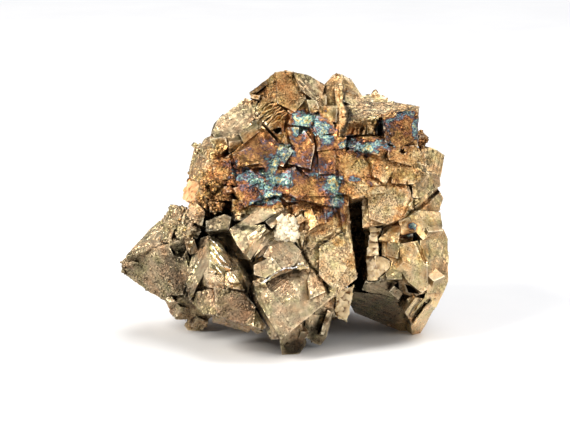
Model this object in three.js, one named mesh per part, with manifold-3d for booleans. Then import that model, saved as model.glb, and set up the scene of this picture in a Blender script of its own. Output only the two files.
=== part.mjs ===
// A hand specimen of pyrite with a little quartz: cubes, plates and wedges grown into one another,
// standing on three low feet and one at the back, and split at the front by a deep narrow gap.
//
// Lengths are millimetres, +Z is up, and the viewer stands at -Y. The origin is on the surface the
// specimen stands on, under the middle of its bounding box.

import * as THREE from "three";
import { ConvexGeometry } from "three/addons/geometries/ConvexGeometry.js";
import { mergeVertices } from "three/addons/utils/BufferGeometryUtils.js";
import Module from "manifold-3d";

// Driving dimensions. Every crystal is set out the way the specimen is looked at: how far right of
// the middle, how far up from the lowest foot, and how deep behind the middle plane, measured along
// sight lines from an eye a little above level.
const SIGHT_TILT = THREE.MathUtils.degToRad(12);
const EYE_DISTANCE = 400;
const EYE_UP = 28.1;
const MIDDLE_HEIGHT = 25;
const QUARTZ_GAP = 0.3;
const MERGE_DISTANCE = 1e-4;

// The small cubes on the faces: how deep their middles lie, as a part of their size, how they are all
// turned about X, Y and Z in degrees, how far one differs from the next, and how long they are.
const STUD_SINK = 0.18;
const STUD_TURNS = [[20, 50], [10, 40], [0, 90]];
const STUD_STRAY = 9;
const STUD_LENGTHS = [0.7, 1.2];

// Everything below the surface the specimen stands on, as a box: width, depth and height.
const GROUND = [200, 200, 100];

const RIGHT = new THREE.Vector3(1, 0, 0);
const UP = new THREE.Vector3(0, Math.sin(SIGHT_TILT), Math.cos(SIGHT_TILT));
const AWAY = new THREE.Vector3(0, Math.cos(SIGHT_TILT), -Math.sin(SIGHT_TILT));

const wasm = await Module();
wasm.setup();
const { Manifold, Mesh } = wasm;

// The point that is seen at (right, up) and lies at that depth.
function at([right, up, depth]) {
  const spread = 1 + depth / EYE_DISTANCE;
  return new THREE.Vector3(0, 0, MIDDLE_HEIGHT)
    .addScaledVector(RIGHT, right * spread)
    .addScaledVector(UP, (up - EYE_UP) * spread)
    .addScaledVector(AWAY, depth);
}

// A flat face through a seen point. The first lean turns it to the right, the second upward: they
// are how much deeper the face gets for each millimetre that way.
function facePlane(point, [leanRight, leanUp]) {
  const normal = AWAY.clone().negate();
  normal.addScaledVector(RIGHT, leanRight).addScaledVector(UP, leanUp).normalize();
  return new THREE.Plane().setFromNormalAndCoplanarPoint(normal, at(point));
}

// Where the sight line at (right, up) meets a face.
function onPlane(plane, [right, up]) {
  const near = at([right, up, 0]);
  const step = at([right, up, 1]).sub(near);
  return near.addScaledVector(step, -plane.distanceToPoint(near) / plane.normal.dot(step));
}

// A crystal with flat faces over all these seen points.
function hull(...points) {
  return points.map(at);
}

// A crystal with one flat face seen at these corners. Its sides run back halfway between square to
// that face and straight away from the viewer.
function slab(point, lean, thickness, corners) {
  const plane = facePlane(point, lean);
  const inward = AWAY.clone().sub(plane.normal).setLength(thickness);
  const front = corners.map((corner) => onPlane(plane, corner));
  return [...front, ...front.map((p) => p.clone().add(inward))];
}

// Thin plates lying one past the other, each a step from the one before.
function ledges(count, point, lean, thickness, corners, step) {
  return Array.from({ length: count }, (_, i) =>
    slab(
      [point[0] + i * step[0], point[1] + i * step[1], point[2] + i * step[2]],
      lean,
      thickness,
      corners.map(([right, up]) => [right + i * step[0], up + i * step[1]]),
    ),
  );
}

// The corners of a cuboid of this size about a point, turned by an Euler rotation.
function cuboid(centre, [width, depth, height], rotation) {
  const corners = [];
  for (const x of [-0.5, 0.5]) {
    for (const y of [-0.5, 0.5]) {
      for (const z of [-0.5, 0.5]) {
        const corner = new THREE.Vector3(x * width, y * depth, z * height);
        corners.push(corner.applyEuler(rotation).add(centre));
      }
    }
  }
  return corners;
}

// A cuboid about a seen point, turned by degrees about X, Y and Z.
function block(centre, size, turn) {
  return cuboid(at(centre), size, new THREE.Euler(...turn.map(THREE.MathUtils.degToRad)));
}

// Numbers from 0 to 1 in a fixed order, so that every build is the same.
function makeRandom(seed) {
  const multiplier = 1664525;
  const increment = 1013904223;
  const modulus = 2 ** 32;
  let state = seed;
  return () => {
    state = (state * multiplier + increment) % modulus;
    return state / modulus;
  };
}

// Whether a seen point lies inside an outline: it does if a line to its right crosses the outline once.
function isInside([right, up], corners) {
  let inside = false;
  corners.forEach(([r1, u1], i) => {
    const [r2, u2] = corners[(i + 1) % corners.length];
    if (u1 > up !== u2 > up && right < r1 + ((up - u1) / (u2 - u1)) * (r2 - r1)) inside = !inside;
  });
  return inside;
}

// Small cubes scattered on a face and half sunk in it, all turned nearly alike.
function studs(seed, count, [smallest, largest], point, lean, corners) {
  const random = makeRandom(seed);
  const between = (low, high) => low + (high - low) * random();
  const plane = facePlane(point, lean);
  const rights = corners.map((corner) => corner[0]);
  const ups = corners.map((corner) => corner[1]);
  const shared = STUD_TURNS.map(([low, high]) => between(low, high));
  const cubes = [];
  while (cubes.length < count) {
    const right = between(Math.min(...rights), Math.max(...rights));
    const up = between(Math.min(...ups), Math.max(...ups));
    if (!isInside([right, up], corners)) continue;
    const size = between(smallest, largest);
    const centre = onPlane(plane, [right, up]).addScaledVector(plane.normal, -STUD_SINK * size);
    const turn = shared.map((degrees) => degrees + between(-STUD_STRAY, STUD_STRAY));
    const rotation = new THREE.Euler(...turn.map(THREE.MathUtils.degToRad));
    cubes.push(cuboid(centre, [size, size * between(...STUD_LENGTHS), size], rotation));
  }
  return cubes;
}

// The hidden middle that all the crystals grow from.
function middle() {
  return [
    hull([-14, 11, 2], [8, 8, 1], [-14, 26, -5], [8, 27, -6], [-12, 12, 14], [8, 11, 14],
      [-12, 30, 16], [8, 30, 16]),
    hull([-13, 29, -3], [20, 31, -2], [-10, 44, 1], [19, 45, -1], [-12, 32, 16], [22, 31, 16],
      [2, 49, 8], [-3, 33, -9], [9, 33, -9]),
    hull([18.2, 33, -3], [28, 33, 1], [18.8, 16, -1], [29.5, 15, 4], [16.5, 34, 15], [28, 33, 15],
      [16.5, 15, 15], [28.5, 14, 15]),
    hull([-12, 14, 9], [22, 14, 9], [-12, 34, 9], [24, 34, 9], [-6, 16, 20], [17, 16, 20],
      [-6, 32, 21], [17, 34, 20]),
  ];
}

// The mineral between the crystals, a little behind their faces, so that only shallow creases are left.
function creaseFilling() {
  return [
    slab([-1, 30, -12.5], [0, 0.4], 6, [[-9, 28.4], [-7, 31.6], [6, 32], [6.4, 30], [1, 28],
      [-4, 27.4]]),
    slab([5, 27, -12.6], [0.2, 0.35], 6, [[1, 28.6], [2, 31.4], [10, 31], [10.6, 26], [7.4, 23],
      [3, 22.6], [1.8, 24.6]]),
    slab([-2.6, 23.6, -14.9], [0.2, 0.3], 5, [[-5.4, 19.4], [-4.4, 22], [-1, 26.6], [0.4, 24.4],
      [-1.6, 21.4]]),
    slab([-1.8, 47.4, -6], [0.1, 0.6], 5, [[-5.8, 49.4], [-4.4, 51.4], [1.6, 48.8], [1.4, 43],
      [-0.4, 42.4], [-4.8, 46.4]]),
    slab([4, 48.6, -5], [0.3, 0.7], 5, [[0.4, 48.4], [2, 50.2], [4.4, 51.8], [7.4, 49.6], [7, 47.4],
      [4, 46.6]]),
    slab([7.3, 50.4, -1.4], [0.2, 0.4], 3, [[6.2, 49.6], [6.8, 52], [8.4, 51.6], [8.2, 49.4]]),
    slab([12.2, 47, -5], [0.2, 0.9], 5, [[10.8, 43.6], [10.8, 49.6], [13.6, 50], [13.8, 43.8]]),
    slab([20.8, 21.4, -7.9], [0, 0.2], 5, [[19.2, 26.4], [22.8, 27], [23.4, 15], [20.4, 15],
      [19.4, 19.6]]),
    slab([25, 13.6, -6.2], [0.2, 0.1], 5, [[22.6, 16.8], [26, 16.4], [28.4, 12.4], [25.6, 11.4],
      [22.8, 12.4]]),
    slab([25.6, 29.6, -5.4], [0.5, 0.2], 4, [[23, 27], [24.6, 32], [28.6, 32.4], [28.6, 28],
      [25.8, 27]]),
    slab([-12.4, 39.8, -4.6], [-0.2, 0.5], 4, [[-15, 38.8], [-14.4, 41.6], [-10.4, 41.6],
      [-9.8, 38.4], [-12, 37.8]]),
    slab([-7.6, 37, -10.8], [-0.1, 0.5], 4, [[-11.4, 36.4], [-10.6, 38.6], [-4, 38.2], [-3.6, 36],
      [-8, 35.6]]),
    slab([-22.8, 23, -4.2], [-0.6, 0.6], 3, [[-24.8, 22.4], [-23.4, 24.6], [-21, 24.4],
      [-20.8, 22.2]]),
    slab([-19.6, 26.6, -5], [-0.6, 0.4], 4, [[-21, 26], [-20.2, 28], [-17.8, 27.6], [-18.4, 25.6]]),
    slab([-17.2, 12.4, -11], [-0.6, 0.3], 4, [[-19.2, 11], [-18.8, 13.2], [-15, 14], [-14.6, 11.6]]),
    slab([25.2, 42, -6], [0.3, 0.3], 4, [[23.2, 41.4], [23.8, 43.4], [26.6, 43.8], [26.6, 41.6]]),
    slab([26.8, 38.8, -5], [0.8, 0.3], 4, [[25.8, 37.4], [26, 40.6], [28, 40.4], [28.2, 37.6]]),
    slab([20.8, 34.8, -9.2], [0.2, 0.3], 3, [[19.6, 33.8], [20, 36], [21.8, 36.2], [21.8, 33.8]]),
    slab([8.6, 9, -5.6], [0.3, -0.4], 5, [[5.6, 6.6], [6.4, 10.6], [10.6, 11.8], [11, 7.6]]),
  ];
}

// Far left: a long wedge, rough and dark on the face toward the viewer.
function leftWedge() {
  return [
    slab([-25.5, 16.5, -2.5], [-0.75, -0.25], 12, [[-32.7, 18.2], [-32.8, 16.4], [-26.4, 12],
      [-23.6, 10.4], [-20, 11.4], [-18.6, 17], [-20.4, 23.1], [-28.5, 20.4]]),
    slab([-26.5, 21.2, -3], [-0.6, 1.2], 10, [[-32, 19.4], [-30.4, 20.7], [-26.8, 25.2], [-24.2, 27.4],
      [-21.2, 23.4], [-28.5, 20.3]]),
    slab([-31, 18.4, 0.2], [-0.5, 0.3], 4, [[-33, 18.4], [-32.2, 17.4], [-29.4, 18.2], [-31.4, 19.6]]),
    slab([-22.2, 16, -5.6], [-0.95, -0.1], 5, [[-24.4, 19.6], [-20.4, 21], [-19.2, 17], [-20.4, 12],
      [-23.6, 11.6], [-25, 15.4]]),
    slab([-22.9, 11, -5.4], [-0.5, 0.3], 3, [[-23.9, 11.2], [-22.9, 11.8], [-22, 10.6], [-23.4, 10.3]]),
  ];
}

// Left foot.
function leftFoot() {
  return [
    hull([-24, 10.6, 4], [-22.2, 7.6, 6], [-19, 12, 1], [-15, 12, 3], [-14, 8, 4], [-16, 6.2, 7],
      [-20, 11, 14], [-15, 9, 14]),
    hull([-20, 5.8, 8], [-18.5, 3.2, 8.5], [-17.3, 3.3, 9], [-15.8, 6.4, 7], [-19, 8, 6], [-19.5, 5, 13],
      [-17, 5, 13], [-16, 9, 10]),
    block([-17.2, 6.8, 6.6], [2.6, 2.6, 2.4], [20, 30, 10]),
    block([-20.8, 8.9, 5], [3, 3, 2.8], [10, 20, 35]),
  ];
}

// Lower left: the stepped crystal that stands before the others.
function steppedCrystal() {
  return [
    slab([-17.5, 17, -11], [-1.1, 0.5], 9, [[-15.4, 23.7], [-15.2, 17.7], [-15.8, 16.8], [-19, 10.9],
      [-19.7, 12.8], [-19.7, 15.2], [-18.2, 21.3], [-16.8, 23.1]]),
    slab([-15.2, 20, -12], [0.3, 0.5], 9, [[-15.4, 23.7], [-13.3, 22.8], [-11.3, 19.8], [-10.4, 17.1],
      [-11.5, 15.8], [-15.2, 17.6]]),
    slab([-12.6, 17.3, -13.4], [0.4, 0.5], 6, [[-15.2, 18.5], [-12.3, 18], [-10.5, 17.2],
      [-11.4, 15.8], [-15.2, 16.4]]),
    slab([-9.4, 14.6, -14.6], [0.6, 0.2], 10, [[-11.6, 16.4], [-8.9, 17], [-7.2, 13.2], [-7.6, 12],
      [-11.8, 12.4]]),
    slab([-15.8, 15, -13], [-0.8, -0.3], 6, [[-15.2, 17.6], [-13.8, 16.4], [-15.8, 13.6],
      [-17.6, 12.9], [-17.2, 14.6]]),
    slab([-13.4, 14.4, -14.8], [0.2, 0.5], 6, [[-13.8, 16.2], [-12.2, 15.9], [-12.1, 12.8], [-15, 13.4],
      [-15.8, 14]]),
    slab([-10.6, 15.2, -15.6], [0.2, 0.9], 4, [[-11.7, 15.3], [-10.3, 16.5], [-9, 14.3], [-10.8, 14.4]]),
    slab([-10.4, 13.6, -15.8], [0.2, 0.9], 5, [[-12, 14.5], [-8.6, 14], [-8.2, 12.8], [-12, 13.4]]),
    slab([-16, 10.8, -14], [-0.9, 0.3], 9, [[-19.2, 10.9], [-17.4, 12.4], [-13.4, 13.3], [-12.6, 7.8],
      [-16.4, 8]]),
    slab([-10, 9.5, -16.8], [0.2, 0.3], 13, [[-14.2, 13.3], [-8.4, 12.3], [-5.9, 9.4], [-6.3, 5.5],
      [-10.6, 7.2], [-13.6, 7.7]]),
    slab([-5.8, 7, -16], [0.5, 0.1], 10, [[-7.4, 9.8], [-6, 9.2], [-3.7, 5.5], [-4.4, 4.8], [-7.6, 6]]),
    hull([-8, 5.8, -12], [-4.4, 4.4, -12], [-5.6, 4, -9], [-7, 8, -5]),
  ];
}

// The notch above the stepped crystal: one small block, and rough lumps to the left of it.
function notchLumps() {
  return [
    slab([-13.4, 26, -15], [-0.2, 0.35], 6, [[-15.8, 26.5], [-12.2, 27.9], [-10.8, 27.3],
      [-11.2, 24.9], [-15.8, 24.5]]),
    slab([-18, 28, -8.5], [-0.7, 0.3], 7, [[-20.2, 28.2], [-18, 30.5], [-16, 28.4], [-16.6, 25.6],
      [-18.8, 26.4]]),
    slab([-22.2, 27.8, -0.5], [-1, 0.8], 8, [[-24.2, 27.4], [-22.8, 29.8], [-19.9, 29.3], [-21, 26],
      [-24.3, 26.2]]),
    slab([-20.2, 24.4, -7], [-0.8, 0.5], 8, [[-22.5, 24.6], [-20.6, 26.2], [-18, 25.2], [-18.7, 22.3],
      [-21.6, 23.2]]),
    block([-18.3, 24.6, -8.4], [2, 2, 2], [25, 20, 15]),
    block([-19.3, 30, -2.6], [2.2, 2.4, 2], [15, 30, 30]),
    block([-18.8, 21.6, -8.8], [1.6, 2, 2.6], [10, -15, 20]),
    block([-22.4, 25, -3.6], [2.6, 3, 2.4], [20, 15, 40]),
  ];
}

// Brown granular mass over the notch.
function brownMass() {
  return [
    slab([-13.5, 36, -10.5], [-0.5, 0.5], 9, [[-16.9, 36.6], [-15.4, 38.8], [-11, 38.6], [-10.4, 34],
      [-16.4, 33.6]]),
    slab([-13.4, 32, -11.6], [-0.4, 0.2], 8, [[-16.6, 34], [-11.6, 34], [-10.8, 30.8], [-14.6, 30.6],
      [-16.4, 32]]),
    slab([-13.6, 29.4, -12], [-0.3, -0.2], 6, [[-15.2, 30.4], [-12.2, 30.2], [-12.8, 28.4],
      [-15, 28.4]]),
    slab([-8.2, 34.4, -12.4], [-0.3, 0.6], 8, [[-11, 36], [-7, 37.4], [-5.2, 34.6], [-9, 32.6]]),
    slab([-7, 32.2, -13.2], [0.3, 0.3], 8, [[-10.4, 33.2], [-4.4, 34.6], [-3, 31.8], [-8, 29.4]]),
    slab([-8.6, 28.8, -13.4], [0.2, -0.1], 7, [[-10.6, 31], [-5.4, 29.6], [-8, 27], [-10, 26.4]]),
    slab([-16.8, 32, -6.5], [-1.2, 0.2], 7, [[-18, 31], [-16.4, 36], [-15.6, 34], [-15.9, 28.8]]),
    slab([-11.4, 39, -9.6], [0.3, 0.7], 4, [[-12.6, 38.7], [-10.9, 40.2], [-10.2, 37.8]]),
    slab([-12.6, 36, -12], [0.2, 0.9], 3, [[-14.4, 37.2], [-11.2, 37.4], [-11.4, 35], [-13.8, 35]]),
    ...studs(5, 8, [1.2, 2.1], [-13.5, 35, -11], [-0.5, 0.4], [[-16.4, 36.6], [-15, 38.4], [-11, 38],
      [-10.6, 33], [-13, 31.4], [-16.2, 32]]),
  ];
}

// Behind the brown mass on the left.
function backLeft() {
  return [
    slab([-17.4, 38, 4], [-1.4, 0.6], 10, [[-19.1, 35.2], [-19.1, 37.4], [-18, 40.4], [-15.6, 39],
      [-16.6, 34.4]]),
    slab([-16.2, 40.8, 1.5], [-0.8, 0.9], 10, [[-18, 40.8], [-16.4, 42.2], [-14.2, 41.4],
      [-15.2, 38.6]]),
    slab([-15.6, 42.8, 2.5], [-1, 1.1], 8, [[-16.8, 41.6], [-16.2, 43.1], [-13.6, 44.4],
      [-14.2, 41.4]]),
    block([-12, 34, 8], [10, 12, 13], [20, 10, 30]),
  ];
}

// Upper left: the smooth copper-coloured face, the pale block, and the thin plates between them.
function upperLeft() {
  return [
    slab([-5.5, 41, -9.6], [-0.1, 0.62], 8, [[-10.6, 40.2], [-7.4, 42], [-4.6, 45.6], [-0.5, 41.4],
      [-3.8, 37.4], [-9.8, 37.4]]),
    slab([-8, 39.2, -11.3], [0.1, 0.75], 3, [[-10.5, 39.9], [-7.2, 41.4], [-5, 38.2], [-9.6, 37.6]]),
    slab([-10, 46, -5], [-0.35, 0.55], 10, [[-14.5, 44.2], [-13.4, 46.9], [-12, 48], [-8, 51.2],
      [-5.6, 50.6], [-6.5, 46], [-9.4, 42.8], [-13.6, 42.2]]),
    slab([-13, 42, -7.6], [-0.3, 0.2], 7, [[-15.1, 43.1], [-12, 43.4], [-11.4, 41.4], [-12.8, 40.1],
      [-14.4, 41.6]]),
    slab([-13.6, 45.4, -1.5], [-1.6, 0.8], 7, [[-15, 43.7], [-14.2, 46], [-12.4, 48], [-13, 45]]),
    slab([-10, 41.9, -8.6], [0.3, -0.4], 6, [[-11.3, 42.5], [-8.7, 42.8], [-8.8, 41.4],
      [-11.2, 40.3]]),
    ...ledges(3, [-7.6, 44.8, -7.4], [-0.2, 0.9], 4, [[-9.2, 44], [-6.2, 46.2], [-5.8, 45.7],
      [-8.9, 43.3]], [0.32, -0.62, -0.55]),
  ];
}

// Thin plates on edge, one below the other, between the pale block and the top.
function plateFan() {
  return [
    slab([-3, 48, -4.8], [0.3, 0.8], 6, [[-6.4, 47.4], [-3.4, 51], [0.4, 50.4], [0.8, 46.8],
      [-3.4, 45.4]]),
    ...ledges(5, [-4.4, 49.4, -6.6], [0.1, 0.4], 4, [[-6, 48.2], [-3.1, 50.9], [-2.8, 50.4],
      [-5.7, 47.7]], [0.62, -0.66, -0.2]),
    slab([-5.2, 46.6, -6.6], [0.4, 0.2], 4, [[-6.6, 46.4], [-4.8, 47.2], [-4.6, 45.4], [-5.8, 44.9]]),
  ];
}

// The top: an orange crystal with a pale face to its right.
function topCrystal() {
  return [
    slab([-2.4, 53, -2.8], [-0.5, 0.7], 12, [[-7.1, 52.3], [-3.6, 55], [-1.8, 56.5], [-0.4, 53],
      [-1.6, 50], [-6.6, 51.5]]),
    slab([1.2, 52.6, -4], [0.1, 0.55], 13, [[-1.8, 56.4], [0, 56.8], [1.9, 56.4], [4.2, 51.2],
      [2, 48.4], [-1.6, 50.2]]),
    slab([-5.2, 53.5, -1.4], [-0.9, 1.2], 7, [[-7.2, 52.3], [-3.8, 54.9], [-3.6, 54], [-6, 52.3]]),
    slab([-6, 51.5, -4.4], [-0.3, 0.5], 4, [[-7, 52], [-5, 51.8], [-5.3, 50.9], [-6.8, 51.3]]),
    slab([4.6, 54.2, -1.4], [1, 0.9], 9, [[1.6, 56.4], [4.6, 55.8], [8, 53.8], [7.5, 51.6],
      [3.2, 52.8]]),
    slab([5.2, 51.7, -4], [0.9, 0.2], 5, [[3.4, 52.7], [4.4, 53], [7.3, 51.2], [6.6, 50.2]]),
    slab([5.6, 49.8, -6], [0.6, 0.3], 5, [[4.3, 50.9], [6.3, 50.8], [6.9, 48.8], [5.1, 48.2]]),
  ];
}

// Behind the top on the right: a knobbly ridge with a fin down its front, and a low peak.
function topRidge() {
  return [
    slab([9, 52, 0.5], [-0.6, 0.6], 9, [[7.6, 53.7], [9.6, 55.8], [10.8, 56], [10.8, 48.6],
      [7, 49.4]]),
    slab([8.6, 48, -5], [0, 0.6], 7, [[6.7, 49.6], [10.4, 49.8], [10.2, 46.4], [6.9, 47]]),
    slab([10.8, 54, 1.2], [0.3, 0.7], 6, [[10.2, 55.8], [11.5, 55.9], [11.3, 51.6], [10, 52.6]]),
    slab([11, 50.4, -1.9], [0.4, 0.7], 6, [[10, 53], [11.5, 52.4], [11.9, 48.6], [10.4, 48]]),
    slab([10.6, 46.4, -5], [-0.1, 0.8], 6, [[10.3, 49.2], [11.8, 49], [11, 43.4], [9.9, 43.6]]),
    slab([13, 53, 4], [0.8, 0.9], 9, [[11.2, 56], [13.4, 54.8], [15.7, 51.3], [14.2, 49.4],
      [11.6, 50.6]]),
    slab([14.2, 49.8, 2], [0.2, 1.6], 10, [[11.8, 50.8], [15.2, 51.4], [17, 50], [12.2, 48.4]]),
    slab([18, 51.2, 7], [0.2, 1], 9, [[15.4, 50.4], [18, 52.7], [21.6, 50.4], [16, 49.2]]),
    block([12.6, 52, 4.2], [2.2, 2.6, 2.1], [10, 30, 10]),
    block([16.3, 50.6, 6], [2.2, 2, 1.4], [20, 10, 20]),
  ];
}

// Upper right: a cube with a sharp corner, its top running back, and columns on its left side.
function cornerCube() {
  return [
    slab([23.4, 45, -7], [0.25, 0.3], 12, [[19.6, 47.5], [26.5, 48.9], [26.6, 43.4], [23, 41.2],
      [20, 42.4]]),
    slab([19, 48.6, -3.6], [0.1, 2.4], 9, [[12.6, 46.3], [20, 47.5], [26.9, 49.5], [21.4, 50.5],
      [13, 50.1]]),
    slab([26.7, 46.8, -4.6], [2.2, 0.1], 5, [[26.3, 48.7], [26.9, 49.5], [26.6, 43.8], [26.2, 43.6]]),
    slab([15.8, 45.4, -5.6], [0.1, 0.1], 8, [[13, 46.7], [18.4, 47.2], [18.4, 43.6], [13, 43.8]]),
    ...ledges(2, [15, 45.6, -6.8], [0.6, 0], 3, [[14.2, 47], [15.6, 47.2], [15.4, 44.2], [14.3, 44]],
      [2.2, 0, -0.2]),
    slab([14.6, 41.8, -9.2], [-0.3, 1.1], 7, [[12.2, 43.2], [16.6, 43.5], [17, 40.4], [11.8, 41.6]]),
    slab([18.2, 41.6, -9.4], [0.2, 0.9], 7, [[16, 43.4], [19.8, 43.6], [20.9, 41], [19, 39.6],
      [16, 40.6]]),
    slab([11.1, 42.4, -9.2], [0.1, 0.5], 6, [[9.8, 43.4], [12.2, 43.4], [12, 41.2], [10.2, 41]]),
    slab([24.4, 39.8, -8], [0.5, 0.35], 9, [[20.6, 41.4], [26.3, 41.8], [27.5, 40], [25.4, 37.6],
      [20.8, 38.8]]),
    slab([29.4, 38.6, -0.5], [0.5, 0.5], 10, [[27.2, 41.8], [30, 41.1], [32, 39.8], [31, 34.8],
      [27.6, 36.6]]),
    block([26.8, 43.1, 1], [2.3, 2.6, 2.4], [10, 20, 30]),
  ];
}

// Upper middle: facets broken by cracks, between the top and the granular gold face.
function crackedFacets() {
  return [
    slab([3, 41, -8.9], [0, 0.5], 6, [[-3.4, 38.6], [0.4, 46.4], [9.8, 46], [10.4, 41], [10, 31.6],
      [-2.6, 31.8]]),
    slab([2.8, 47, -7], [-0.2, 0.9], 6, [[0.2, 48.3], [5.9, 48.3], [5, 45.5], [0.4, 46]]),
    slab([7.2, 45.8, -7.6], [0.4, 0.6], 6, [[5.9, 48], [9.4, 46.4], [10.2, 44.4], [6, 43.7], [5, 45.3]]),
    slab([-0.1, 44, -7.8], [0.1, 0.7], 5, [[-1.2, 43.8], [0.5, 46.6], [0.8, 43.4], [-0.6, 42.3]]),
    slab([1.4, 43.6, -8.8], [0, 0.35], 5, [[0.4, 45.3], [2.7, 45.4], [2.8, 42.4], [0.4, 41.6],
      [-0.6, 42.6]]),
    slab([7.8, 42.4, -9.6], [0.15, 0.5], 7, [[6, 43.9], [10, 43.6], [10.5, 41.2], [6.4, 40.6]]),
    slab([-1.4, 39.6, -10.8], [-0.3, 0.6], 7, [[-3.6, 38.6], [-0.4, 41.7], [1.4, 40.4], [-0.4, 37.6]]),
    slab([-2.6, 36, -12.4], [0.1, 0.3], 7, [[-4, 37.4], [-2.6, 38.6], [-0.4, 37], [-1.4, 34.2],
      [-3.8, 34.2]]),
    slab([2.6, 41, -10], [-0.2, 0.55], 8, [[0.8, 41.2], [3.7, 44.8], [5.9, 41.6], [5, 37],
      [0.6, 38.2]]),
    slab([0.2, 35, -12.8], [-0.3, 0.35], 8, [[-1.2, 37.2], [2, 37.4], [2.6, 32], [-1.6, 32.2]]),
    slab([3, 34.6, -13.2], [0.4, 0.35], 8, [[1.4, 37.4], [4.4, 35.4], [5.4, 33], [3, 31], [1, 31.8]]),
    slab([0.8, 31.4, -13.4], [0, 0.6], 5, [[-1.4, 32.2], [3.4, 31.8], [2.6, 30.6], [0.2, 30.5]]),
    slab([-4.4, 34.4, -12.6], [-0.1, 0.6], 6, [[-6, 36.8], [-2.6, 36], [-3.2, 33], [-6.4, 33.4]]),
    slab([-3.6, 32.8, -13.4], [0.2, 0.2], 6, [[-6, 33.8], [-2, 34.6], [-1.5, 32], [-4, 31]]),
    slab([8.4, 38.4, -11], [0.1, 0.4], 8, [[6.6, 40.8], [10, 40.8], [10.1, 36], [6.8, 36]]),
    slab([8, 34.2, -12], [-0.2, 0.5], 8, [[5.4, 36.4], [9.2, 36.6], [9.6, 32], [5.8, 32.6]]),
    slab([6, 32, -12.8], [0, 0.4], 7, [[4.4, 34], [9.8, 32.2], [9.4, 29.6], [3.2, 31]]),
    slab([11, 31, -11.6], [0.3, 0.6], 6, [[9.4, 32.4], [12.8, 32.6], [12.6, 29.8], [9.6, 29.6]]),
    slab([9.6, 39, -10.1], [0.1, 0.3], 8, [[9, 41.2], [12, 41.4], [12, 32], [9.4, 32]]),
  ];
}

// Right of the middle: granular gold and pale faces down to the edge of the gap.
function goldFaces() {
  return [
    slab([15.4, 37.2, -10.2], [0.1, 0.44], 11, [[10.9, 40.4], [15.4, 41.2], [20.4, 39.8], [21.9, 37],
      [20, 33.9], [15, 33.4], [11, 35]]),
    slab([14.6, 33.6, -11.4], [0.05, 0.3], 8, [[11, 35.4], [15, 35], [18.2, 34.2], [17.6, 32],
      [13.4, 31], [11.2, 33.2]]),
    slab([19, 33.2, -11], [0, 0.3], 7, [[17.6, 34.7], [20.2, 33.9], [19.4, 32.2], [17.4, 32]]),
    slab([20.4, 30.4, -10.4], [0.12, 0.3], 9, [[16.4, 31.8], [20.8, 34.2], [24.8, 33.6], [25.4, 30.6],
      [23.6, 27.2], [20.2, 25.8], [17, 27]]),
    slab([17.2, 28, -9.8], [-0.1, 0.2], 8, [[15.4, 30.8], [17, 31.2], [19, 28], [19.6, 25.8],
      [15.6, 25.2]]),
    slab([24.2, 36, -8.8], [0.3, 0.4], 10, [[21.4, 38.8], [27, 38.4], [28.2, 36], [25.6, 34],
      [21.4, 34.2]]),
    slab([28.6, 34.4, -4.4], [0.9, 0.1], 10, [[27.6, 37], [31, 35.4], [31.2, 33.6], [27, 31.2],
      [25.4, 31.4], [25.4, 34.4]]),
    block([23, 32.6, -9.2], [2, 1.6, 1.6], [20, 20, 30]),
    block([26.4, 36.4, -6.6], [3, 2.8, 2.4], [25, 30, 20]),
  ];
}

// Right: the tall mass below the main crack.
function rightMass() {
  return [
    slab([28.4, 30.2, -3.6], [0.9, 0.3], 11, [[30.5, 33.4], [31.7, 31.2], [30.7, 28.4], [27, 27.4],
      [26, 29.4], [28, 31.4]]),
    slab([27.4, 26.2, -6], [0.5, 0.2], 11, [[25.7, 28.8], [31, 28.4], [31.5, 25.4], [27.6, 22.8],
      [24.2, 26.8]]),
    slab([24.2, 25.4, -8], [0.1, 0.2], 9, [[22.8, 26.5], [24.8, 27.4], [26.2, 24.4], [22.9, 23.7]]),
    slab([21.2, 24, -9.2], [-0.2, 0.4], 8, [[18.5, 22.8], [21.6, 25.5], [23.1, 25.6], [22.6, 22.2]]),
    slab([21.6, 20.8, -9.6], [0.1, 0.2], 7, [[20.5, 22.4], [22.9, 22.2], [22.6, 19.1], [20.2, 19.8]]),
    slab([24.2, 22.9, -6.4], [0, -0.2], 6, [[22.4, 24.2], [25.6, 24], [25.6, 21.8], [22.4, 21.8]]),
    slab([25.4, 18.4, -8.6], [0.25, 0.05], 10, [[22.8, 22], [26.6, 22.6], [28.5, 18.4], [28.6, 13],
      [27.4, 12.2], [24.6, 14.4], [23.2, 16.8]]),
    slab([29.6, 19.4, -4], [0.85, 0.15], 12, [[27, 23.6], [31.7, 25], [32.6, 23], [31.4, 20.4],
      [32.6, 14.4], [31.6, 12.2], [28.4, 12.2], [27.2, 17]]),
    slab([30, 11, -2.8], [0.8, -0.5], 11, [[28.4, 13.2], [31.8, 12.6], [30.2, 9.2], [27.6, 10.6]]),
    slab([23.2, 13.6, -5.8], [0.1, 0.5], 7, [[22.6, 15.2], [24.3, 14.6], [24.6, 12], [22.4, 12.6]]),
    block([29, 25, -4.2], [3.6, 3.2, 2.4], [35, 20, 25]),
    block([29.4, 15, -3.8], [3, 3.4, 3.2], [30, 10, 40]),
    block([23.4, 18, -8.8], [1.8, 1.8, 2.2], [20, 40, 15]),
  ];
}

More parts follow.
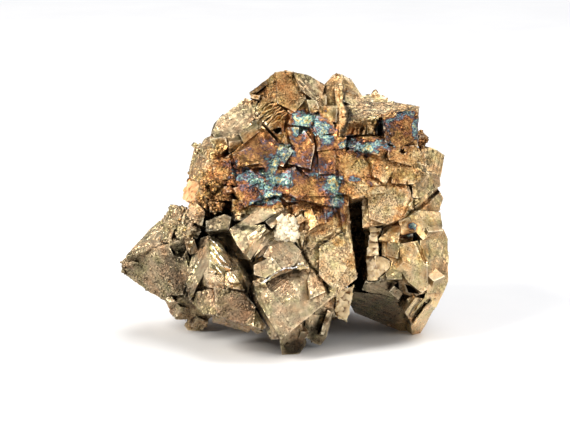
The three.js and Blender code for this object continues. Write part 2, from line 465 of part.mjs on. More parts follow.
// Right foot: three ribs running down to it, and the dark stepped underside to the left.
function rightFoot() {
  const ribLean = [1.2, -1.45];
  return [
    slab([25.4, 11.4, -6.8], [-0.3, 1], 5, [[24.2, 10.9], [25.6, 12.2], [26.3, 11.6], [24.6, 10.5]]),
    slab([26, 9.4, -4.6], ribLean, 9, [[24, 8.4], [26, 11.3], [27.7, 11], [25.1, 6.6]]),
    slab([27.6, 7.8, 0.6], ribLean, 10, [[25.1, 6.9], [28.2, 10.7], [30.4, 9.8], [28.2, 5.9],
      [26.6, 3.4], [25.6, 3.4]]),
    slab([19, 13.6, -6.5], [0.2, -0.9], 7, [[16, 14.5], [18.6, 14.9], [22.5, 17], [22, 14.3],
      [23.6, 11.6], [22.6, 10.4], [15.4, 12.8]]),
    slab([22.2, 12, -6.8], [0.3, -0.7], 2, [[20.8, 12.4], [21.8, 13.6], [23.6, 12.2], [22.6, 10.8]]),
    slab([19, 9.4, -1], [0.1, -1.6], 9, [[13.6, 12.4], [19, 11.8], [23.8, 10.6], [26.3, 3.4],
      [24.4, 4.3], [21, 6.5], [14, 8.2], [13, 10]]),
  ];
}

// The large cube at the front, with the plates stepped into its face.
function frontCube() {
  return [
    slab([4, 15, -15], [0.28, 0.12], 15, [[-3.6, 14.2], [-6.2, 13.4], [-5.6, 11], [-0.8, 3], [8, 10.2],
      [14.3, 15], [13.4, 22], [11.8, 28], [10.4, 26], [2.4, 18]]),
    slab([12.7, 23.6, -11], [1.4, 0.1], 7, [[10.8, 30], [12.6, 29.9], [14.4, 15.1], [13.2, 15.6],
      [12.4, 25]]),
    slab([-3.6, 7.4, -16.4], [-1.2, -0.5], 6, [[-5.9, 11.5], [-1.3, 4.2], [-2, 3.5], [-6, 10.2]]),
    block([-2.2, 4.2, -14.8], [1.6, 1.8, 1.7], [20, 25, 30]),
    slab([-1.4, 16, -17.4], [-0.1, 1.2], 4, [[-4.9, 14.1], [-1, 17.2], [1.9, 17.4], [0, 16.2],
      [-3.4, 14.3]]),
    slab([3.4, 17.6, -15.8], [0.1, 1.4], 4, [[2, 18], [2.8, 18.5], [4.7, 17.2], [2.4, 17.1]]),
    slab([9.4, 17.6, -14.3], [0.28, 0.2], 3, [[7, 21.6], [11.6, 24.4], [12.8, 18], [9.6, 13],
      [6.8, 15.6]]),
    slab([5.6, 14, -15.6], [0.35, 0.4], 3, [[4.2, 16.4], [7, 16.6], [8, 12.4], [5, 11]]),
  ];
}

// Facets between the front cube and the cracked facets above it.
function facetsOverCube() {
  return [
    slab([2.2, 28.9, -13.6], [0.5, 0.5], 5, [[1.3, 29.8], [2.5, 30.1], [3.3, 28.9], [2, 27.6]]),
    slab([0.9, 27.6, -13.8], [0, 0.5], 5, [[-0.4, 28.2], [2, 28], [1.2, 26.8], [0, 27.2]]),
    slab([4.4, 29.6, -12.8], [0, 0.4], 5, [[3.2, 30.8], [5.4, 30.5], [5, 28.8], [3.4, 28.8]]),
    slab([5, 26.8, -13.8], [-0.4, 0.3], 8, [[3.8, 28.6], [5.3, 29.1], [6.5, 26], [4, 24.2]]),
    slab([7.2, 27.3, -13.2], [0.3, 0.4], 6, [[6.3, 28.4], [8.1, 28.4], [8.2, 26.3], [6.4, 26]]),
    slab([9.3, 27.8, -12], [0.3, 0.1], 8, [[7.8, 30], [10.9, 29.9], [11.4, 27], [9.8, 25.4],
      [7.8, 26]]),
    slab([8, 24.3, -13.6], [-0.1, 1], 5, [[5.7, 24.3], [10.3, 25.9], [9.2, 24], [6.3, 22.6]]),
    slab([3.2, 22.9, -15.2], [0.2, 0.3], 6, [[2.1, 24.2], [3.9, 24.5], [3.4, 20.7], [2.2, 22.4]]),
    slab([3.2, 26.8, -14.8], [0.3, 0.5], 5, [[2.2, 27.4], [3.2, 28], [4.1, 26.9], [2.6, 25.9]]),
    slab([4.8, 23, -14], [0.1, 0.4], 6, [[3.8, 24.8], [6.6, 24.6], [6, 21.6], [3.8, 21.4]]),
    block([5.2, 22.4, -14.4], [1.6, 1.6, 1.5], [20, 30, 10]),
  ];
}

// Blades and blocks piled on the left shoulder of the front cube.
function shoulderBlocks() {
  return [
    slab([-4.6, 27.8, -14.8], [-0.1, 0.72], 5, [[-9.8, 25.7], [-4.4, 29.4], [-1.5, 31.8], [-0.2, 29.1],
      [-4.2, 26.6], [-8.4, 24.8]]),
    slab([-2, 27, -14.8], [0.6, 0.3], 5, [[-3.9, 26.4], [-1, 28.8], [0, 28.2], [-2.6, 25.1]]),
    slab([-7.4, 23, -16.8], [-0.25, 0.15], 9, [[-11.2, 24.9], [-10.2, 25.5], [-4, 25.9], [-3.8, 25],
      [-7.6, 19.2], [-9.6, 21.8]]),
    slab([-5.4, 22.4, -17.1], [1, -0.1], 6, [[-4.3, 25.8], [-2.9, 24.5], [-7, 18.9], [-7.7, 19.8]]),
    slab([-3.6, 22.6, -15.6], [0.5, 0.4], 6, [[-2.9, 25.1], [-1.6, 24.1], [-6.2, 19.5], [-5.4, 21]]),
    slab([-0.8, 20.4, -16.4], [0.05, 0.3], 7, [[-4.5, 19.6], [-3.4, 21.4], [0.6, 23.1], [3.4, 20.7],
      [1.8, 17.8], [-0.6, 17.3], [-3.2, 19.7]]),
    slab([-4, 17.6, -18], [-0.1, 0.3], 7, [[-6.3, 17.8], [-2.7, 19.6], [-0.8, 17.2], [-4, 15.3],
      [-6.2, 15.9]]),
    slab([-5.2, 14.7, -17.8], [-0.2, 0.6], 5, [[-6.4, 14.6], [-4.4, 15.6], [-3.8, 15], [-6.1, 13.4]]),
  ];
}

// Under the front cube: the centre foot and the small crystals beside it.
function centreFoot() {
  return [
    hull([-1.2, 4, -11], [-0.6, -0.6, -9.4], [2.4, -0.8, -9], [4, 1.8, -8], [3.4, 6, -11],
      [0, 0.4, -3.4], [2.8, 0.6, -3.4], [4, 8, 0], [-1, 8, 0]),
    hull([4, 3.4, -6.5], [5.6, 2.1, -5.5], [7, 1.7, -5], [8.2, 3, -5], [9.4, 7.6, -5], [4, 8, -7],
      [5, 6, 0], [8.4, 9.6, 2]),
    block([3.2, 4.4, -9.5], [1.9, 2.2, 1.6], [15, 20, 35]),
    block([6.2, 7.2, -8], [1.6, 2, 1.8], [30, 15, 30]),
    slab([8.2, 6.6, -7], [0.4, 0.2], 4, [[7, 4], [7.7, 3.8], [9.6, 8.2], [8.6, 8.8]]),
    hull([9.4, 9.6, -5], [10.4, 8, -3], [12, 10, -2], [12, 12, -6], [9, 12, -8], [8, 11, 0],
      [12, 13, 4]),
  ];
}

// The back: broad cubes at odd angles, and the rear foot.
function backOfSpecimen() {
  return [
    block([3, 13, 17], [15, 12, 13], [14, 8, 24]),
    block([-8, 21, 14], [15, 13, 15], [5, -12, 18]),
    block([8, 30, 16], [15, 13, 15], [-8, 10, 40]),
    block([-5, 37, 10], [13, 12, 13], [20, 5, 25]),
    block([5, 44, 6], [13, 11, 10], [10, 15, 40]),
    block([17, 40, 9], [12, 12, 11], [12, 20, 12]),
    block([22, 25, 12], [12, 12, 15], [10, 5, 30]),
    block([22, 15, 10], [11, 11, 9], [10, -12, 20]),
    block([-19, 20, 8], [10, 9, 9], [30, 10, 20]),
    block([1, 25, 24], [8, 7, 8], [20, 30, 10]),
    block([-10, 29, 19], [7, 7, 7], [10, 40, 20]),
    block([15, 19, 20], [8, 8, 7], [25, 5, 50]),
    block([-13, 15, 16], [6, 6, 6], [15, 35, 30]),
  ];
}

// Hollows sunk into the faces.
function hollows() {
  return [
    slab([-21.9, 20.6, -9.2], [-0.2, -0.7], 3.6, [[-23.6, 20.4], [-22, 22.4], [-20.4, 22.4],
      [-19.8, 20.4], [-20.6, 19], [-22.6, 19]]),
    slab([-1.8, 44.8, -12], [0, 0], 9, [[-2.6, 44.9], [-2.2, 45.5], [-0.7, 45.6], [-0.7, 44.7],
      [-1.6, 44.1]]),
    slab([24, 40.8, -10], [0.3, 0.2], 3.4, [[23.1, 40.7], [23.6, 41.3], [24.4, 41.3], [24.7, 40.6],
      [24, 40]]),
    slab([-3.4, 14.4, -19.2], [0.06, 0.25], 3.6, [[-4.2, 14.4], [-1, 16.2], [2, 17.2], [5.4, 17.4],
      [3.4, 11.6], [0.4, 9.4], [-2.2, 12]]),
    slab([25.4, 12.9, -9], [0.2, 0], 8, [[24.4, 14], [26, 13.3], [27.3, 11.8], [26.2, 12.1],
      [25, 12.2]]),
  ];
}

// Milky and peach quartz lodged between the pyrite crystals.
const QUARTZ = {
  quartz_front: {
    colour: 0xf4e8d0,
    pieces: [
      slab([0.7, 25, -16], [0.2, 0.5], 3, [[-1.3, 26.2], [-0.8, 27.5], [1, 26.7], [2.2, 26.2],
        [2.6, 25], [2, 22.9], [1.1, 23.3], [-0.6, 23.1], [-1.4, 23.9]]),
    ],
  },
  quartz_left: {
    colour: 0xf0cb98,
    pieces: [
      hull([-20.6, 31.2, 7], [-20.3, 33, 8], [-19.3, 34.7, 8], [-17.4, 34.6, 5], [-16.8, 32, 2],
        [-17.8, 30.6, 1], [-19.8, 30.4, 4], [-16, 33, 10], [-17, 31, 9]),
    ],
  },
  quartz_chasm: {
    colour: 0xdfc9a6,
    pieces: [
      slab([17, 17.6, -8.4], [-0.3, 0.2], 7, [[16.2, 19.8], [18.4, 20.2], [18.5, 14.9], [16.4, 14.7]]),
      slab([19.4, 17.4, -8.8], [0.2, 0.1], 6, [[18, 19.8], [20, 19.2], [21.2, 18.5], [21, 17.2],
        [18.4, 15]]),
      slab([17.6, 20.6, -8.8], [-0.2, 0.5], 6, [[16.4, 21.4], [18.7, 21.4], [18.6, 19.9], [16.2, 19.6]]),
      slab([17.7, 22.1, -8.4], [-0.2, 0.4], 6, [[16.7, 22.7], [18.6, 22.5], [18.7, 21.2], [16.7, 21.3]]),
      slab([17.6, 23.2, -8.8], [-0.2, 0.5], 6, [[16.8, 23.8], [18.4, 23.7], [18.5, 22.5], [16.8, 22.6]]),
      slab([18, 24.2, -8.4], [-0.2, 0.5], 6, [[17.1, 24.6], [19, 24.6], [18.6, 23.6], [17, 23.7]]),
      slab([18.1, 25, -8.9], [-0.2, 0.5], 6, [[16.9, 25.3], [19.3, 25.3], [19, 24.5], [17, 24.5]]),
    ],
  },
  quartz_under: {
    colour: 0xd4be9f,
    pieces: [
      hull([10.4, 12.2, -9], [13.8, 13.9, -8], [13.4, 11, -7], [12.9, 8.4, -6], [12.2, 6.5, -5],
        [10.2, 7.4, -6], [10, 9.2, -7], [10.2, 10, 0], [12.8, 12.4, 0]),
    ],
  },
  quartz_right: {
    colour: 0xf0ddbe,
    pieces: [
      slab([31.8, 18.2, -1.5], [0.9, 0], 5, [[31, 20.3], [33, 20.4], [32.9, 18], [32.3, 15.4],
        [31.1, 16.4], [30.8, 18.6]]),
    ],
  },
};

// One closed body over a crystal's corners.
function solidOver(points) {
  const geometry = new ConvexGeometry(points);
  geometry.deleteAttribute("normal");
  const merged = mergeVertices(geometry, MERGE_DISTANCE);
  return new Manifold(
    new Mesh({
      numProp: 3,
      vertProperties: merged.attributes.position.array,
      triVerts: Uint32Array.from(merged.index.array),
    }),
  );
}

// Crystals grown together into one body.
function join(crystals) {
  return crystals.map(solidOver).reduce((all, next) => all.add(next));
}

// The largest body of a solid, without loose crumbs and sealed holes.
function mainBody(solid) {
  return solid.decompose().reduce((a, b) => (a.volume() > b.volume() ? a : b));
}

// The corners of a crystal shifted both ways along each axis, so that its hull grows on every side.
function widen(points, distance) {
  return [RIGHT, UP, AWAY].flatMap((axis) =>
    [-distance, distance].flatMap((way) => points.map((p) => p.clone().addScaledVector(axis, way))),
  );
}

// Everything below the surface the specimen stands on.
function belowGround() {
  const middleOfBox = new THREE.Vector3(0, 0, -GROUND[2] / 2);
  return solidOver(cuboid(middleOfBox, GROUND, new THREE.Euler()));
}

const REGIONS = [
  middle,
  creaseFilling,
  leftWedge,
  leftFoot,
  steppedCrystal,
  notchLumps,
  brownMass,
  backLeft,
  upperLeft,
  plateFan,
  topCrystal,
  topRidge,
  cornerCube,
  crackedFacets,
  goldFaces,
  rightMass,
  rightFoot,
  frontCube,
  facetsOverCube,
  shoulderBlocks,
  centreFoot,
  backOfSpecimen,
];

const PYRITE_COLOUR = 0xb8996a;

// A named mesh of a solid body.
function drawnMesh(name, solid, material) {
  const { vertProperties, triVerts } = solid.getMesh();
  const geometry = new THREE.BufferGeometry();
  geometry.setAttribute("position", new THREE.BufferAttribute(vertProperties, 3));
  geometry.setIndex(new THREE.BufferAttribute(triVerts, 1));
  const mesh = new THREE.Mesh(geometry, material);
  mesh.name = name;
  return mesh;
}

const ground = belowGround();
const quartzSolids = Object.values(QUARTZ).map(({ pieces }) => join(pieces).subtract(ground));
const quartzCrystals = Object.values(QUARTZ).flatMap(({ pieces }) => pieces);
const pockets = quartzCrystals.map((crystal) => solidOver(widen(crystal, QUARTZ_GAP)));
const cluster = join(REGIONS.flatMap((region) => region()));
const cut = [join(hollows()), ...pockets, ground].reduce((solid, hole) => solid.subtract(hole), cluster);

const group = new THREE.Group();
group.name = "pyrite_with_quartz";
const pyrite = new THREE.MeshStandardMaterial({ color: PYRITE_COLOUR, metalness: 0.85, roughness: 0.42 });
group.add(drawnMesh("pyrite_cluster", mainBody(cut), pyrite));
Object.entries(QUARTZ).forEach(([name, { colour }], i) => {
  const quartz = new THREE.MeshStandardMaterial({ color: colour, metalness: 0, roughness: 0.35 });
  group.add(drawnMesh(name, mainBody(quartzSolids[i]), quartz));
});

// Bring the middle of the bounding box over the origin.
const box = new THREE.Box3().setFromObject(group);
const centre = box.getCenter(new THREE.Vector3());
group.children.forEach((mesh) => mesh.geometry.translate(-centre.x, -centre.y, 0));

export default group;
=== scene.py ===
"""Pyrite with quartz: the surfaces, colours, light and view of the specimen.

Lengths are millimetres until a mesh is written, which is in metres. Places on the specimen are given
as it is looked at: how far right of its middle, how far up from the lowest foot, and how deep behind
the middle plane, measured along sight lines from the eye.
"""

import math

import bpy
import numpy as np
from mathutils import Matrix, Vector


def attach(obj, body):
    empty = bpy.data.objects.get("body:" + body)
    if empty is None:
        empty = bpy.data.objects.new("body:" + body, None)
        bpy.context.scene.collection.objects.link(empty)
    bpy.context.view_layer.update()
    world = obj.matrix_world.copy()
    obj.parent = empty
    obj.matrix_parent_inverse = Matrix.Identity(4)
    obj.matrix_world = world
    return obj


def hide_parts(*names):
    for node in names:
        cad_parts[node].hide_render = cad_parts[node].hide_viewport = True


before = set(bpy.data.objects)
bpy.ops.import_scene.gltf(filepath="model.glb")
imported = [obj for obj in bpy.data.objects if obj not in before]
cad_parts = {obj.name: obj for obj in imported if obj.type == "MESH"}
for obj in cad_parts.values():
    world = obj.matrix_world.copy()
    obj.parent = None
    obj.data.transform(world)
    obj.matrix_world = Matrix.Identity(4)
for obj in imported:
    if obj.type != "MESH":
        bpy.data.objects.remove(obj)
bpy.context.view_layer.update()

MM = 0.001

# The view: the sight lines fall this much, the eye is this far from the middle plane, and the middle
# plane crosses the axis of the specimen at this height. The solids were moved by SHIFT afterwards.
SIGHT_TILT = math.radians(12)
EYE_DISTANCE = 400
EYE_UP = 28.1
MIDDLE = np.array([0, 0, 25])
SHIFT = np.array([0.0649, -3.089, 0])
FIELD_WIDTH = 114

RIGHT = np.array([1, 0, 0])
UP = np.array([0, math.sin(SIGHT_TILT), math.cos(SIGHT_TILT)])
AWAY = np.array([0, math.cos(SIGHT_TILT), -math.sin(SIGHT_TILT)])

# The longest edge of the pyrite's mesh on the side that is seen and on the far side.
NEAR_EDGE = 0.42
FAR_EDGE = 0.85

# The patterns in space repeat after this many cells.
LATTICE = 37

# How far the thin plates reach back from their front edge.
PLATE_REACH = 3.2

# The height that the lights are aimed at, and how far the floor reaches each way, in metres.
AIM_HEIGHT = 0.028
FLOOR_REACH = 3.0


def at(right, up, depth):
    """The point seen at (right, up) that lies at that depth."""
    spread = 1 + depth / EYE_DISTANCE
    return MIDDLE + SHIFT + RIGHT * right * spread + UP * (up - EYE_UP) * spread + AWAY * depth


def seen(points):
    """Where points are seen: an array of right, up and depth."""
    away = points - MIDDLE - SHIFT
    depth = away @ AWAY
    spread = 1 + depth / EYE_DISTANCE
    return np.column_stack([away @ RIGHT / spread, away @ UP / spread + EYE_UP, depth])


# Patterns in space.


def ease(values):
    """Values below 0 become 0, above 1 become 1, and the way between is a cubic curve."""
    t = np.clip(values, 0, 1)
    return t * t * (3 - 2 * t)


def noise(points, size, seed, parts=1):
    """Smooth random numbers from -1 to 1: random values on a cubic lattice of that cell size, blended
    between its corners along a cubic curve. One column for each part."""
    table = np.random.default_rng(seed).uniform(-1, 1, (LATTICE**3, parts)).astype(np.float32)
    cells = points / size
    corner = np.floor(cells)
    share = ease(cells - corner).astype(np.float32)[:, :, None]
    low = corner.astype(np.int32) % LATTICE
    high = (low + 1) % LATTICE
    ends = [(low[:, axis], high[:, axis]) for axis in range(3)]
    layers = []
    for i in ends[0]:
        rows = []
        for j in ends[1]:
            row = (i * LATTICE + j) * LATTICE
            first, last = table[row + ends[2][0]], table[row + ends[2][1]]
            rows.append(first + (last - first) * share[:, 2])
        layers.append(rows[0] + (rows[1] - rows[0]) * share[:, 1])
    total = layers[0] + (layers[1] - layers[0]) * share[:, 0]
    return total if parts > 1 else total[:, 0]


def grains(points, size, seed):
    """Random grains, one seed point in each cell of a cubic lattice: for every point the way from the
    nearest seed in cells, that grain's four random numbers, and how much farther the next seed is."""
    random = np.random.default_rng(seed)
    places = random.random((LATTICE, LATTICE, LATTICE, 3))
    traits = random.uniform(-1, 1, (LATTICE, LATTICE, LATTICE, 4))
    cells = points / size
    base = np.floor(cells).astype(int)
    nearest = np.full(len(points), np.inf)
    second = np.full(len(points), np.inf)
    offset = np.zeros((len(points), 3))
    trait = np.zeros((len(points), 4))
    for step in np.ndindex(3, 3, 3):
        cell = base + np.array(step) - 1
        i, j, k = (cell % LATTICE).T
        away = cells - cell - places[i, j, k]
        distance = (away**2).sum(axis=1)
        closer = distance < nearest
        second = np.where(closer, nearest, np.minimum(second, distance))
        nearest = np.where(closer, distance, nearest)
        offset[closer] = away[closer]
        trait[closer] = traits[i, j, k][closer]
    return offset, trait, np.sqrt(second) - np.sqrt(nearest)


def along_line(spots, line):
    """The distance from each seen place to the nearest point of a line through the listed places."""
    best = np.full(len(spots), np.inf)
    for start, end in zip(line[:-1], line[1:]):
        start, way = np.array(start), np.subtract(end, start)
        share = np.clip((spots - start) @ way / (way @ way), 0, 1)
        best = np.minimum(best, np.linalg.norm(spots - start - share[:, None] * way, axis=1))
    return best


# How each part of the front looks: right, up, how far it reaches right and up, then the thickness of
# the tarnish film, how granular it is, its brightness, and how red its brown is. The brightness is
# partly the part's own tone and partly painted light and shade: it is raised on faces that turn
# away from the lamps and lowered on parts that lie in shade.
ZONES = {
    "left wedge": (-26.5, 16.0, 6.5, 4.0, 0.00, 0.70, 0.52, 0.1),
    "wedge rough": (-22.6, 15.6, 3.0, 3.0, 0.01, 0.95, 0.58, 0.1),
    "wedge top": (-26.0, 22.5, 4.5, 2.6, 0.02, 0.45, 1.00, 0.0),
    "left foot": (-18.0, 8.0, 4.5, 3.5, 0.02, 0.60, 0.74, 0.1),
    "left lumps": (-20.5, 26.5, 3.6, 3.6, 0.03, 0.85, 0.86, 0.1),
    "stepped left": (-17.4, 17.5, 1.8, 5.0, 0.00, 0.08, 0.95, 0.0),
    "stepped right": (-11.5, 17.0, 3.2, 4.5, 0.01, 0.04, 1.34, 0.0),
    "stepped low": (-12.0, 9.8, 5.5, 3.0, 0.02, 0.75, 0.46, 0.4),
    "notch block": (-13.4, 26.2, 2.6, 1.8, 0.04, 0.30, 0.21, 0.0),
    "brown mass": (-13.4, 34.6, 4.2, 5.2, 0.33, 0.90, 0.94, 0.1),
    "brown right": (-7.0, 32.6, 4.2, 3.8, 0.45, 0.80, 1.22, 0.1),
    "back left": (-17.0, 39.5, 2.2, 5.0, 0.03, 0.60, 0.85, 0.1),
    "copper face": (-5.4, 40.6, 4.6, 3.4, 0.45, 0.08, 0.45, 0.0),
    "pale block": (-10.0, 46.4, 4.8, 4.4, 0.02, 0.12, 0.39, 0.0),
    "fan plates": (-3.4, 48.6, 2.8, 2.6, 0.16, 0.35, 1.20, 0.0),
    "top orange": (-1.6, 53.0, 5.0, 3.8, 0.28, 0.55, 0.47, 0.0),
    "top pale": (5.0, 52.6, 3.0, 3.4, 0.06, 0.20, 0.61, 0.0),
    "ridge": (10.4, 51.0, 3.6, 5.0, 0.15, 0.30, 0.48, 0.1),
    "ridge back": (16.0, 51.0, 4.5, 2.6, 0.08, 0.25, 0.75, 0.0),
    "upper facets": (4.5, 45.0, 6.0, 3.0, 0.34, 0.50, 0.92, 0.0),
    "cracked": (3.5, 38.6, 6.5, 5.6, 0.38, 0.40, 0.63, 0.2),
    "under cracked": (4.0, 31.6, 6.0, 2.4, 0.35, 0.55, 0.85, 0.2),
    "gold face": (15.5, 37.4, 5.4, 4.0, 0.22, 0.75, 0.86, 0.0),
    "cube top": (19.0, 48.8, 7.0, 1.8, 0.07, 0.60, 0.82, 0.0),
    "cube columns": (16.0, 45.4, 2.8, 1.8, 0.15, 0.30, 1.22, 0.0),
    "corner cube": (23.4, 44.4, 3.6, 3.6, 0.35, 0.70, 0.63, 0.2),
    "under corner": (24.5, 38.6, 4.0, 3.4, 0.24, 0.40, 0.68, 0.0),
    "far right top": (29.6, 38.2, 3.0, 4.2, 0.12, 0.10, 0.50, 0.1),
    "rose faces": (21.0, 31.0, 4.6, 4.0, 0.10, 0.60, 0.92, 0.0),
    "right mass": (27.0, 24.6, 5.6, 6.5, 0.13, 0.18, 0.80, 0.0),
    "right low": (28.0, 15.6, 4.6, 5.0, 0.10, 0.10, 0.84, 0.0),
    "gap blocks": (21.0, 21.4, 2.4, 3.4, 0.16, 0.25, 0.68, 0.0),
    "ribs": (27.0, 8.2, 3.0, 3.6, 0.08, 0.12, 1.25, 0.0),
    "dark step": (19.0, 10.0, 5.6, 3.6, 0.00, 0.02, 0.33, 0.0),
    "front cube": (2.0, 8.6, 5.0, 6.6, 0.03, 0.08, 0.77, 0.0),
    "cube gold": (9.0, 19.0, 4.0, 6.0, 0.10, 0.60, 0.97, 0.0),
    "cube upper": (6.0, 25.0, 4.0, 4.0, 0.17, 0.45, 0.67, 0.0),
    "shoulder left": (-6.6, 24.0, 3.0, 3.4, 0.00, 0.15, 0.39, 0.0),
    "shoulder top": (-2.6, 26.4, 3.6, 2.0, 0.00, 0.25, 0.70, 0.0),
    "pale slab": (-5.0, 28.0, 3.4, 1.3, 0.03, 0.20, 0.80, 0.0),
    "pink plate": (-5.4, 23.0, 1.2, 2.4, 0.03, 0.10, 1.60, 0.5),
    "cube lines": (-0.8, 13.0, 3.2, 2.2, 0.00, 0.40, 1.55, 0.0),
    "shoulder right": (0.8, 20.0, 3.2, 3.2, 0.01, 0.30, 0.88, 0.0),
    "small plate": (-4.4, 17.4, 2.2, 1.8, 0.02, 0.15, 0.76, 0.1),
    "centre foot": (3.6, 2.4, 5.0, 3.4, 0.02, 0.60, 0.21, 0.1),
}

# Spots of thicker or thinner film: right, up, how far they reach right and up, and the thickness.
SPOTS = [
    (1.2, 47.0, 0.9, 0.8, 0.26),
    (22.3, 34.8, 1.8, 2.0, 0.33),
    (23.8, 40.9, 1.1, 0.8, 0.44),
    (13.6, 18.6, 0.9, 1.6, 0.26),
    (25.4, 24.6, 1.8, 1.6, 0.34),
    (22.0, 26.4, 1.4, 1.1, 0.28),
    (10.6, 22.4, 1.6, 0.8, 0.28),
    (8.0, 27.4, 2.2, 1.4, 0.38),
    (11.2, 27.0, 1.4, 2.0, 0.50),
    (4.4, 46.8, 4.0, 2.2, 0.66),
    (3.9, 46.8, 2.5, 1.3, 0.86),
    (7.4, 45.0, 2.8, 2.2, 0.76),
    (2.8, 44.2, 1.6, 1.4, 0.72),
    (-0.8, 41.0, 1.3, 1.0, 0.92),
    (9.2, 34.0, 3.0, 2.6, 0.62),
    (9.2, 34.0, 1.8, 1.6, 0.86),
    (6.4, 35.4, 1.9, 0.9, 0.60),
    (8.6, 42.4, 1.8, 1.4, 0.74),
    (11.4, 41.6, 1.1, 0.9, 0.94),
    (13.0, 42.6, 1.8, 0.9, 0.74),
    (16.2, 41.4, 4.4, 2.2, 0.66),
    (16.2, 41.4, 2.6, 1.2, 0.82),
    (20.4, 41.2, 1.8, 1.3, 0.60),
    (18.9, 45.6, 1.0, 2.0, 0.70),
    (13.7, 34.5, 1.4, 0.9, 0.66),
    (16.6, 33.8, 1.1, 1.1, 0.54),
    (10.6, 30.8, 1.8, 1.4, 0.78),
    (24.2, 23.6, 1.6, 1.1, 0.60),
    (25.6, 26.0, 0.9, 0.9, 0.74),
    (26.2, 23.6, 0.8, 0.8, 0.78),
    (1.4, 31.2, 1.2, 0.9, 0.76),
    (-4.6, 32.6, 4.0, 2.6, 0.58),
    (-5.6, 35.6, 2.8, 1.4, 0.56),
    (-8.6, 33.4, 2.2, 1.4, 0.54),
    (4.8, 39.0, 2.8, 3.0, 0.50),
    (1.4, 36.0, 2.4, 2.0, 0.53),
    (20.6, 45.0, 1.4, 2.2, 0.52),
    (7.6, 37.0, 2.8, 1.6, 0.54),
    (9.4, 28.8, 2.4, 1.6, 0.54),
    (-2.0, 42.6, 1.6, 1.4, 0.52),
    (27.4, 19.8, 1.0, 1.4, 0.24),
    (24.0, 19.6, 1.2, 1.8, 0.22),
    (28.6, 29.0, 1.2, 1.0, 0.22),
    (23.4, 29.6, 1.6, 1.0, 0.26),
]

# Bands of thicker film: half width, thickness, and the places they run through.
BANDS = [
    (1.6, 0.78, [(0.8, 40.4), (-1.2, 40.0), (-2.2, 38.5), (-3.2, 36.2), (-1.0, 34.8), (0.2, 34.4)]),
    (1.2, 0.78, [(-6.2, 29.8), (-2.4, 31.6)]),
    (0.7, 0.64, [(20.4, 46.8), (26.2, 48.4)]),
    (0.5, 0.68, [(26.1, 42.4), (26.1, 47.2)]),
    (1.2, 0.62, [(-11.2, 38.6), (-10.4, 36.8)]),
    (1.1, 0.66, [(-9.0, 35.8), (-6.0, 34.6), (-4.0, 33.2)]),
]

# Lines of painted shade along crevices and gaps, and lines of painted highlight along ridges and
# edges: half width, what the brightness is multiplied by, and the places they run through.
SHADE_AND_HIGHLIGHT_LINES = [
    (0.8, 0.12, [(-15.0, 24.3), (-12.4, 23.6), (-10.6, 21.8), (-8.6, 19.0), (-7.2, 16.4)]),
    (0.5, 0.15, [(-7.2, 16.4), (-6.8, 13.6), (-6.7, 10.8)]),
    (0.5, 0.30, [(-15.8, 25.2), (-16.8, 23.0), (-18.6, 19.6)]),
    (1.0, 0.45, [(-23.6, 20.2), (-21.8, 15.8), (-19.8, 12.4), (-18.6, 10.4)]),
    (0.6, 0.60, [(-29.8, 17.6), (-29.5, 16.8)]),
    (1.0, 0.35, [(-21.8, 21.0), (-20.6, 19.6)]),
    (0.5, 0.20, [(-2.2, 45.2), (-0.9, 45.2)]),
    (1.9, 0.70, [(-4.4, 49.4), (-1.6, 46.8)]),
    (1.2, 0.55, [(13.4, 46.4), (19.0, 44.2)]),
    (0.6, 0.50, [(-3.2, 14.6), (0.2, 16.2), (2.4, 16.6)]),
    (0.35, 1.50, [(-4.8, 13.9), (-2.0, 16.1), (-0.4, 17.1), (2.2, 17.4)]),
    (0.5, 1.50, [(2.8, 17.9), (4.4, 17.3)]),
    (0.5, 1.30, [(-14.6, 21.6), (-12.8, 19.4)]),
    (0.4, 1.30, [(-14.8, 18.6), (-13.2, 17.6)]),
    (0.7, 1.35, [(-11.4, 15.6), (-9.4, 14.6)]),
    (0.35, 1.30, [(-0.8, 3.2), (8.0, 9.8), (14.2, 14.8)]),
    (0.4, 1.40, [(-16.6, 12.4), (-13.6, 9.4)]),
    (0.45, 0.10, [(12.3, 52.4), (12.3, 50.6), (12.7, 48.4), (12.4, 46.6), (11.8, 45.0), (11.6, 43.8)]),
    (0.5, 1.35, [(11.0, 54.8), (11.2, 51.2), (11.5, 49.0), (11.3, 46.8), (10.5, 44.8), (10.0, 43.8)]),
    (0.6, 0.35, [(10.0, 48.2), (9.9, 47.6)]),
    (0.9, 0.30, [(0.6, 1.0), (3.0, 1.0)]),
    (0.8, 0.45, [(5.0, 4.6), (9.6, 7.4), (12.6, 9.4)]),
    (0.5, 0.35, [(-1.0, 31.4), (0.8, 29.2), (1.8, 27.8)]),
    (0.4, 0.20, [(-9.2, 25.0), (-4.2, 26.0), (-1.8, 27.6)]),
    (0.3, 0.30, [(24.4, 7.5), (27.4, 11.3)]),
    (0.3, 0.30, [(25.2, 6.5), (28.7, 11.0)]),
    (1.2, 0.60, [(29.4, 15.2), (30.8, 16.2)]),
    (0.6, 0.60, [(28.4, 24.8), (30.8, 24.9)]),
    (1.0, 0.60, [(22.8, 13.4), (23.8, 12.8)]),
    (1.8, 0.62, [(27.6, 27.4), (30.0, 26.6)]),
]

# Parts of the front where the crystals have grown together, so that no gap is left between them:
# right, up, reach right and reach up.
GROWN_TOGETHER = [(6, 40, 22, 12), (27, 22, 7, 9), (6.5, 25.6, 4.5, 3), (-26.5, 15.5, 5, 4)]

